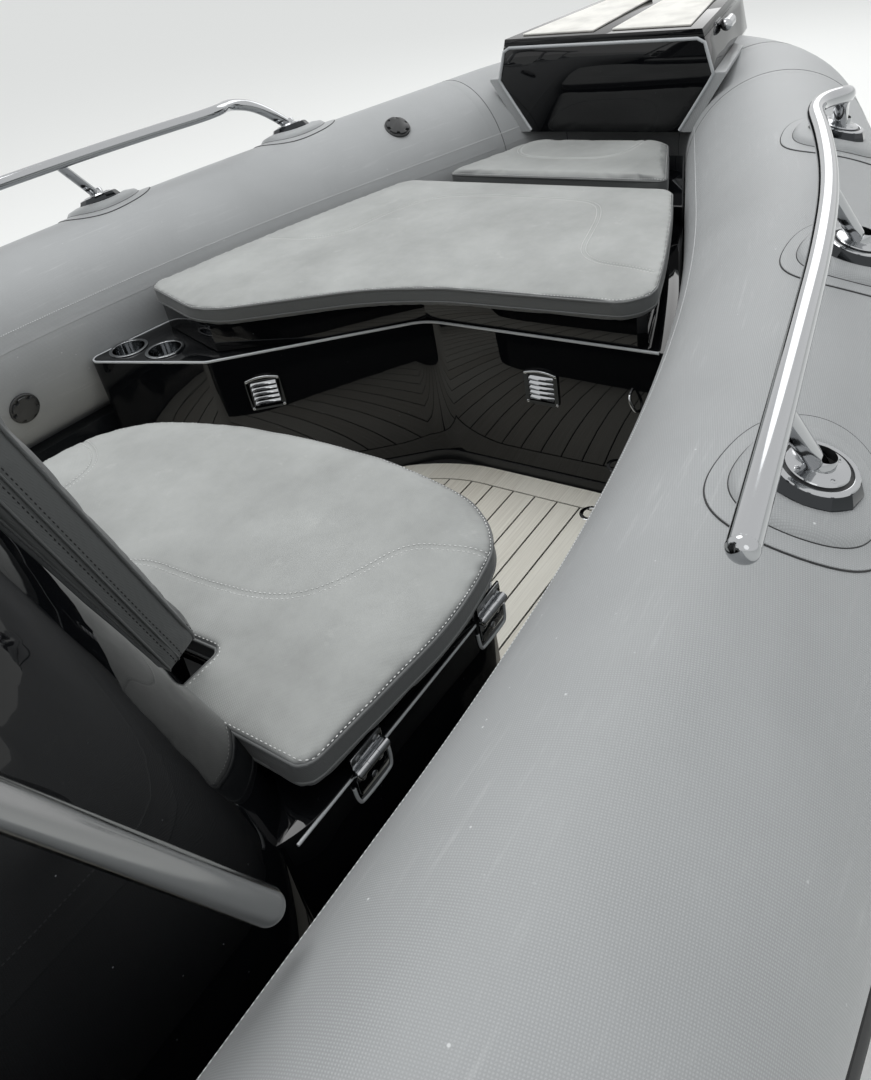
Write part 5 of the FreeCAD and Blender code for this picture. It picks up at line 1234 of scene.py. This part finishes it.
class RIB_OT_cushions(bpy.types.Operator):
    """Seat and bow cushions in charcoal vinyl"""
    bl_idname = "rib.cushions"
    bl_label = "Cushions"

    def execute(self, context):
        for name, plan, body, node, seams in (
                ("bow_pad", bow_cushion_plan, "bow_lid", "bow_cushion", bow_seams),
                ("bow_small_pad", small_cushion_plan, "root", "bow_small_cushion", small_seams),
                ("seat_pad", seat_cushion_plan, "seat_lid", "seat_cushion", seat_seams)):
            low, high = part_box(node)
            cushion(name, plan, low.z, high.z, body, node, seams)
        # room for the swelling
        gap = 0.004
        for node, setback in (("helm_cushion", 0.085), ("bench_cushion", 0.04)):
            low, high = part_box(node)
            x0, x1, y0, y1 = low.x + gap, high.x - gap, low.y + gap, high.y - gap
            plan = [(x, y, setback) for x, y in ((x0, y0), (x1, y0), (x1, y1), (x0, y1))]
            cushion(node + "_pad", plan, low.z, high.z, "root", node)
        return {"FINISHED"}


class RIB_OT_backrests(bpy.types.Operator):
    """Leaning backrest of the front seat, and the upright ones of the helm seat and the bench"""
    bl_idname = "rib.backrests"
    bl_label = "Backrests"

    def execute(self, context):
        low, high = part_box("seat_backrest")
        depth = back_thick * math.cos(back_lean)
        tall = (high.z - low.z - back_thick * math.sin(back_lean)) / math.cos(back_lean) + 0.022
        foot = Vector((high.x - depth + 0.006, console_y, low.z - 0.009))
        cushion("front_back_pad", rectangle(2 * back_half, tall, 0.028), 0.0, back_thick, "root",
                "seat_backrest", stand=standing(foot, back_lean), thread="dark_stitching", side_row=0.42)
        for node in ("helm_backrest", "bench_backrest"):
            low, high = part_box(node)
            foot = Vector((low.x, (low.y + high.y) / 2, low.z))
            cushion(node + "_pad", rectangle(high.y - low.y, high.z - low.z, 0.03), 0.0, high.x - low.x,
                    "root", node, stand=standing(foot), thread="dark_stitching", side_row=0.42)
        return {"FINISHED"}


# Deck

def beside_tube(stations, inset):
    """Plan corners at stations along the port tube, so far inboard of its axis."""
    return [(x, axis_at(x)[0] - inset / math.cos(axis_at(x)[1]), 0.0) for x in stations]


def deck_outline():
    """Corners of the sole: tubes' sides, the bow locker's foot and the bench."""
    aft_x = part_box("cockpit_sole")[0].x + 0.002
    port = beside_tube((0.4, 0.7, 1.0), 0.2225)
    star = [(x, -y, setback) for x, y, setback in beside_tube((1.5, 1.3, 1.0, 0.7, 0.4), 0.2225)]
    foot = [(1.232, 0.747, 0.0), (1.325, 0.398, 0.12), (1.668, -0.034, 0.14), (1.658, -0.640, 0.0)]
    return [(aft_x, port[0][1], 0.0)] + port + foot + star + [(aft_x, -port[0][1], 0.0)]


class RIB_OT_deck(bpy.types.Operator):
    """Planked sole with a margin plank"""
    bl_idname = "rib.deck"
    bl_label = "Deck"

    def execute(self, context):
        deck = context.scene.rib_deck
        bm = bmesh.new()
        face = plan_face(bm, deck_outline(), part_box("cockpit_sole")[1].z + 0.0003)
        if face.normal.z < 0:
            face.normal_flip()
        inset(bm, face, 0.004)
        bmesh.ops.delete(bm, geom=[f for f in bm.faces if f is not face], context="FACES")
        inset(bm, face, deck.margin)
        margin = [f for f in bm.faces if f is not face]
        inset(bm, face, deck.seam)
        gap = [f for f in bm.faces if f is not face and f not in margin]
        bmesh.ops.delete(bm, geom=gap, context="FACES")
        inner = bmesh.new()
        verts = [inner.verts.new(v.co) for v in face.verts]
        inner.faces.new(verts)
        bmesh.ops.delete(bm, geom=[face], context="FACES")
        # the seams on each side of the centre line, out past the sole's edge
        half_sole = 0.9
        rows = int(half_sole / deck.width) + 1
        for row in range(-rows, rows + 1):
            for edge in (-deck.seam / 2, deck.seam / 2):
                bmesh.ops.bisect_plane(inner, geom=inner.verts[:] + inner.edges[:] + inner.faces[:],
                                       plane_co=(0, (row + 0.5) * deck.width + edge, 0), plane_no=(0, 1, 0))
        seams = []
        for strake in inner.faces:
            row = strake.calc_center_median().y / deck.width - 0.5
            if abs(row - round(row)) * deck.width < deck.seam * 0.5:
                seams.append(strake)
        bmesh.ops.delete(inner, geom=seams, context="FACES")
        for part, label in ((bm, "margin_plank"), (inner, "deck_planks")):
            raised(part, part.faces[:], deck.lift)
            bmesh.ops.recalc_face_normals(part, faces=part.faces)
            to_piece(label, part, "deck_planks")
        keep("cockpit_sole", "deck_caulk")
        return {"FINISHED"}


# Mouldings and fittings

# finish, and its nodes with the radius of their edges
moulded = (("hull_gelcoat", (("hull", 0.003),)),
           ("black_gelcoat", (("bow_deck", 0.004), ("bow_lid", 0.004), ("bow_step", 0.006),
                              ("bow_step_lid", 0.006), ("console", 0.022), ("seat_box", 0.004),
                              ("seat_lid", 0.003), ("helm_seat_pod", 0.012), ("stern_bench", 0.004),
                              ("bench_hatch", 0.003))),
           ("hull_gelcoat", (("engine_well", 0.003),)),
           ("black_gelcoat", (("dash", 0.008),)),
           ("step_pad", (("step_pads", 0.002),)),
           ("engine_paint", (("engine_bracket", 0.003), ("engine_swivel", 0.003), ("engine_leg", 0.006),
                             ("gearcase", 0.003), ("cowl_lower", 0.008))),
           ("cowl_paint", (("cowl", 0.03),)),
           ("propeller_steel", (("propeller", 0.001),)))
# finish and the nodes that show it as they are
plain = (("polished_stainless", ("bow_hinges", "bow_step_hinges", "bench_hinges", "bow_eye", "stern_eyes",
                                 "bow_fittings", "helm_seat_frame", "bench_frame")),
         ("satin_stainless", ("console_rail_starboard", "console_rail_port")),
         ("tinted_acrylic", ("windscreen",)), ("display_glass", ("dash_screens",)),
         ("moulded_plastic", ("helm_column", "steering_wheel")), ("cast_block", ("engine_block",)))


class RIB_OT_mouldings(bpy.types.Operator):
    """Gelcoat mouldings: hull, lockers, console, step and seats"""
    bl_idname = "rib.mouldings"
    bl_label = "Mouldings"

    def execute(self, context):
        for finish, nodes in moulded:
            for node, width in nodes:
                dress(node, finish, width)
        dress("bow_locker", "black_gelcoat", 0.004, rounds=((1.229, 0.7546, 0.035),))
        dress("throttle", "moulded_plastic", 0.002)
        dress("cup_holders", "polished_stainless", 0.001)
        tube_uv(dress("bow_collar", "tube_fabric", 0.010, 4).data)
        for finish, nodes in plain:
            for node in nodes:
                keep(node, finish)
        return {"FINISHED"}


# Fittings

# plan corners of the locker's aft edge: x, y and setback of the rounding
locker_edge = ((1.229, 0.752, 0.040), (1.327, 0.398, 0.012), (1.672, -0.034, 0.043), (1.662, -0.640, 0.0))
# height and share along the run of each vent, and the run's two corners in locker_edge
vents = ((0.414, 0.22, 1, 2), (0.389, 0.515, 2, 3))
seat_hinges = (0.500, 0.800)
up = Vector((0, 0, 1))


def vent_shapes():
    """Black frames of the locker's vents, and their bright louvres and screws, with a bright arched bar on
    each frame's top rim that is a painted highlight.
    """
    # the bars lie in front of a dark plate, and the bright arched bar along the frame's upper rim is a
    # painted highlight
    frames, bright = bmesh.new(), bmesh.new()
    for height, share, first, last in vents:
        a, b = Vector(locker_edge[first][:2] + (height,)), Vector(locker_edge[last][:2] + (height,))
        way = (b - a).normalized()
        out = Vector((way.y, -way.x, 0))
        spot = a + (b - a) * share
        plate(frames, -0.045, 0.045, -0.045, 0.045, -0.001, 0.0065, 0.012, spot, out, way, 0.0115)
        plate(frames, -0.036, 0.036, -0.036, 0.036, -0.001, 0.0012, 0.0, spot, out, way)
        for row in range(5):
            middle = spot + up * ((row - 2) * 0.0128 - 0.001) + out * 0.0042
            lean = (out + up * 0.55).normalized()
            plate(bright, -0.0325, 0.0325, -0.0058, 0.0058, -0.0007, 0.0007, 0.0, middle, lean, way)
        painted_arch_highlight = [spot + way * side + up * rise + out * 0.0065
                for side, rise in ((-0.041, 0.0375), (-0.020, 0.0445), (0.020, 0.0445), (0.041, 0.0375))]
        bright.from_mesh(pipe_mesh(painted_arch_highlight, 0.0033, 6))
        for side in (-0.0395, 0.0395):
            for rise in (-0.0395, 0.0365):
                screw(bright, spot + way * side + up * rise + out * 0.0063, out, way, 0.0038)
    return frames, bright


def hinge_shapes():
    """Fixed halves of the seat hinges, the halves on the lid, their pockets and the pockets' rims, which
    carry a painted highlight.
    """
    fixed, moving, pockets, rims = bmesh.new(), bmesh.new(), bmesh.new(), bmesh.new()
    out, way = Vector((0, -1, 0)), Vector((1, 0, 0))
    for x in seat_hinges:
        pin = Vector((x, -0.7425, 0.561))
        plate(fixed, -0.031, 0.031, -0.043, -0.005, -0.0060, -0.0035, 0.006, pin, out, way)
        plate(moving, -0.031, 0.031, 0.005, 0.027, -0.0076, -0.0035, 0.005, pin, out, way)
        plate(pockets, -0.038, 0.038, -0.056, 0.004, -0.0078, -0.0058, 0.014, pin, out, way)
        for start, end, bm in ((-0.0312, -0.0108, fixed), (0.0108, 0.0312, fixed), (-0.0100, 0.0100, moving)):
            bar_between(bm, pin + way * start, pin + way * end, 0.0073)
        for side, rise in ((-0.018, -0.017), (0.018, -0.017), (0.0, -0.033)):
            screw(fixed, pin + way * side + up * rise + out * -0.0035, out, way, 0.0058)
        for side in (-0.018, 0.018):
            screw(moving, pin + way * side + up * 0.017 + out * -0.0035, out, way, 0.0058)
        rim = [pin + way * side + up * rise + out * -0.0058
               for side, rise in ((-0.037, -0.022), (-0.037, -0.052), (-0.024, -0.056), (0.024, -0.056),
                                  (0.037, -0.052), (0.037, -0.022))]
        rims.from_mesh(pipe_mesh(rim, 0.0026, 6))
    return fixed, moving, pockets, rims


class RIB_OT_fittings(bpy.types.Operator):
    """Lips, vents, hinges and small fittings"""
    bl_idname = "rib.fittings"
    bl_label = "Fittings"

    def execute(self, context):
        # down the tube's side to the tip of the locker's wing, and along its aft edge
        wing_side = beside_tube((1.66, 1.58, 1.50, 1.42, 1.34, 1.27), 0.2565)
        lip = rounded_path(wing_side + list(locker_edge))
        # the lip bead is pale gelcoat: a painted highlight along the locker's edge
        pipe("locker_lip", at_height(offset_line(lip, 0.0014), 0.5200), 0.0034, "painted_highlight_gelcoat",
             sides=5)
        foot = rounded_path([(1.2295, 0.745, 0.0)] + list(locker_edge[1:]))
        band("locker_foot", foot, 0.120, 0.150, -0.0035, "moulded_plastic")
        frames, bright = vent_shapes()
        to_piece("vent_frames", frames, "black_chrome")
        to_piece("vent_louvres", bright, "polished_stainless", replaces=["locker_vents"])
        fixed, moving, pockets, rims = hinge_shapes()
        # the pockets' pale rims are a painted highlight
        to_piece("pocket_rims", rims, "painted_highlight_gelcoat")
        to_piece("seat_hinge_leaves", fixed, "polished_stainless", replaces=["seat_hinges"])
        to_piece("seat_lid_leaves", moving, "polished_stainless", "seat_lid")
        to_piece("hinge_pockets", pockets, "black_gelcoat")
        box_edge = rounded_path(((0.36, -0.735, 0.0), (0.930, -0.735, 0.170), (0.930, 0.199, 0.170),
                                 (0.37, 0.199, 0.0)))
        # the pale lip along the seat box's rim is a painted highlight
        pipe("seat_box_lip", at_height(box_edge, 0.5560), 0.0024, "painted_highlight_gelcoat",
             sides=5)
        low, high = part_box("bow_step")
        rim = [Vector((low.x - 0.0005, y, z)) for y, z in
               ((0.250, low.z + 0.005), (high.y - 0.001, 0.794), (0.3195, 0.8885), (0.0, 0.8885),
                (-0.3195, 0.8885), (low.y + 0.001, 0.794), (-0.250, low.z + 0.005))]
        # the pale rim round the step's aft face is a painted highlight
        pipe("step_rim", rim, 0.0048, "painted_highlight_gelcoat", sides=5, order=2)
        eye = [Vector(c) for c in ((1.664, -0.576, 0.424), (1.640, -0.577, 0.421), (1.634, -0.586, 0.400),
                                   (1.640, -0.595, 0.379), (1.664, -0.596, 0.376))]
        pipe("locker_eye", eye, 0.0036, "polished_stainless")
        bm = bmesh.new()
        lathe(bm, ((0.028, 0.002), (0.028, 0.0045), (0.026, 0.0055), (0.020, 0.0055), (0.018, 0.0035)), 40,
              Vector((1.575, -0.500, 0.1195)), up, Vector((1, 0, 0)))
        to_piece("deck_drain", bm, "polished_stainless")
        return {"FINISHED"}


class RIB_OT_stage(bpy.types.Operator):
    """Floor at the waterline, soft light and the camera"""
    bl_idname = "rib.stage"
    bl_label = "Stage"

    def execute(self, context):
        stage = context.scene.rib_stage
        scene = context.scene
        bm = bmesh.new()
        bmesh.ops.create_grid(bm, x_segments=1, y_segments=1, size=400.0)
        mesh = bpy.data.meshes.new("floor")
        bm.to_mesh(mesh)
        bm.free()
        floor = bpy.data.objects.new("floor", mesh)
        scene.collection.objects.link(floor)
        tree, _ = new_finish("studio_floor")
        principled(tree, {"Base Color": stage.floor, "Roughness": 0.9})
        mesh.materials.append(material("studio_floor"))
        world = bpy.data.worlds.new("studio")
        scene.world = world
        world.use_nodes = True
        tree = world.node_tree
        tree.nodes.clear()
        # brightest overhead, as under a wide soft box
        way = add(tree, "ShaderNodeTexCoord").outputs["Generated"]
        height = add(tree, "ShaderNodeSeparateXYZ", {"Vector": way}).outputs["Z"]
        level = add(tree, "ShaderNodeMapRange", {"Value": height, "To Min": stage.sky * 0.35,
                                                 "To Max": stage.sky * 2.1})
        soft = add(tree, "ShaderNodeBackground", {"Color": (0.97, 0.99, 1.0, 1), "Strength": level})
        white = add(tree, "ShaderNodeBackground", {"Color": (1, 1, 1, 1), "Strength": 1.0})
        path = add(tree, "ShaderNodeLightPath")
        seen = add(tree, "ShaderNodeMath", {0: path.outputs["Is Camera Ray"],
                                            1: path.outputs["Is Glossy Ray"]}, operation="ADD")
        seen = add(tree, "ShaderNodeMath", {0: seen, 1: path.outputs["Is Transmission Ray"]},
                   operation="ADD", use_clamp=True)
        pick = add(tree, "ShaderNodeMixShader", {0: seen, 1: soft, 2: white})
        add(tree, "ShaderNodeOutputWorld", {"Surface": pick})
        # name, place, aim, size and share of the key light's strength
        for name, place, aim, size, share in (
                ("overhead", (1.5, 1.5, 5.5), (1.0, 0.0, 0.0), 3.0, 1.0),
                ("bow_light", (6.5, 0.5, 3.2), (1.5, 0.0, 0.6), 3.0, 0.45),
                ("stern_fill", (-6.0, -4.0, 4.0), (-1.0, 0.0, 0.4), 4.0, 0.4)):
            light = bpy.data.lights.new(name, "AREA")
            light.shape = "DISK"
            light.size = size
            light.energy = stage.key * share
            holder = bpy.data.objects.new(name, light)
            holder.location = place
            holder.rotation_euler = (Vector(aim) - Vector(place)).to_track_quat("-Z", "Y").to_euler()
            scene.collection.objects.link(holder)
        eye = bpy.data.cameras.new("camera")
        eye.lens = stage.lens
        eye.sensor_width = 36.0
        eye.clip_start = 0.02
        holder = bpy.data.objects.new("camera", eye)
        scene.collection.objects.link(holder)
        right = Vector((0.541, -0.826, -0.158)).normalized()
        ahead = Vector((0.608, 0.515, -0.604)).normalized()
        up = right.cross(ahead).normalized()
        right = ahead.cross(up)
        axes = Matrix((right, up, -ahead)).transposed().to_4x4()
        holder.matrix_world = Matrix.Translation((0.0, -1.34, 1.46)) @ axes
        scene.camera = holder
        scene.view_settings.view_transform = "Standard"
        return {"FINISHED"}


class RIB_PT_panel(bpy.types.Panel):
    """Steps that dress the boat"""
    bl_idname = "RIB_PT_panel"
    bl_label = "Rib Boat"
    bl_space_type = "VIEW_3D"
    bl_region_type = "UI"
    bl_category = "Rib Boat"

    def draw(self, context):
        for step in steps:
            self.layout.operator(step.bl_idname)


steps = (RIB_OT_materials, RIB_OT_tubes, RIB_OT_rails, RIB_OT_mouldings, RIB_OT_deck, RIB_OT_cushions,
         RIB_OT_backrests, RIB_OT_fittings, RIB_OT_stage)
groups = (("rib_tubes", RibTubeSettings), ("rib_cushions", RibCushionSettings), ("rib_trim", RibTrimSettings),
          ("rib_deck", RibDeckSettings), ("rib_stage", RibStageSettings))


def register():
    for name, group in groups:
        bpy.utils.register_class(group)
        setattr(bpy.types.Scene, name, PointerProperty(type=group))
    for step in steps:
        bpy.utils.register_class(step)
    bpy.utils.register_class(RIB_PT_panel)


def unregister():
    bpy.utils.unregister_class(RIB_PT_panel)
    for step in reversed(steps):
        bpy.utils.unregister_class(step)
    for name, group in reversed(groups):
        delattr(bpy.types.Scene, name)
        bpy.utils.unregister_class(group)


def main():
    register()
    for step in steps:
        group, name = step.bl_idname.split(".")
        getattr(getattr(bpy.ops, group), name)()


if __name__ == "__main__":
    main()
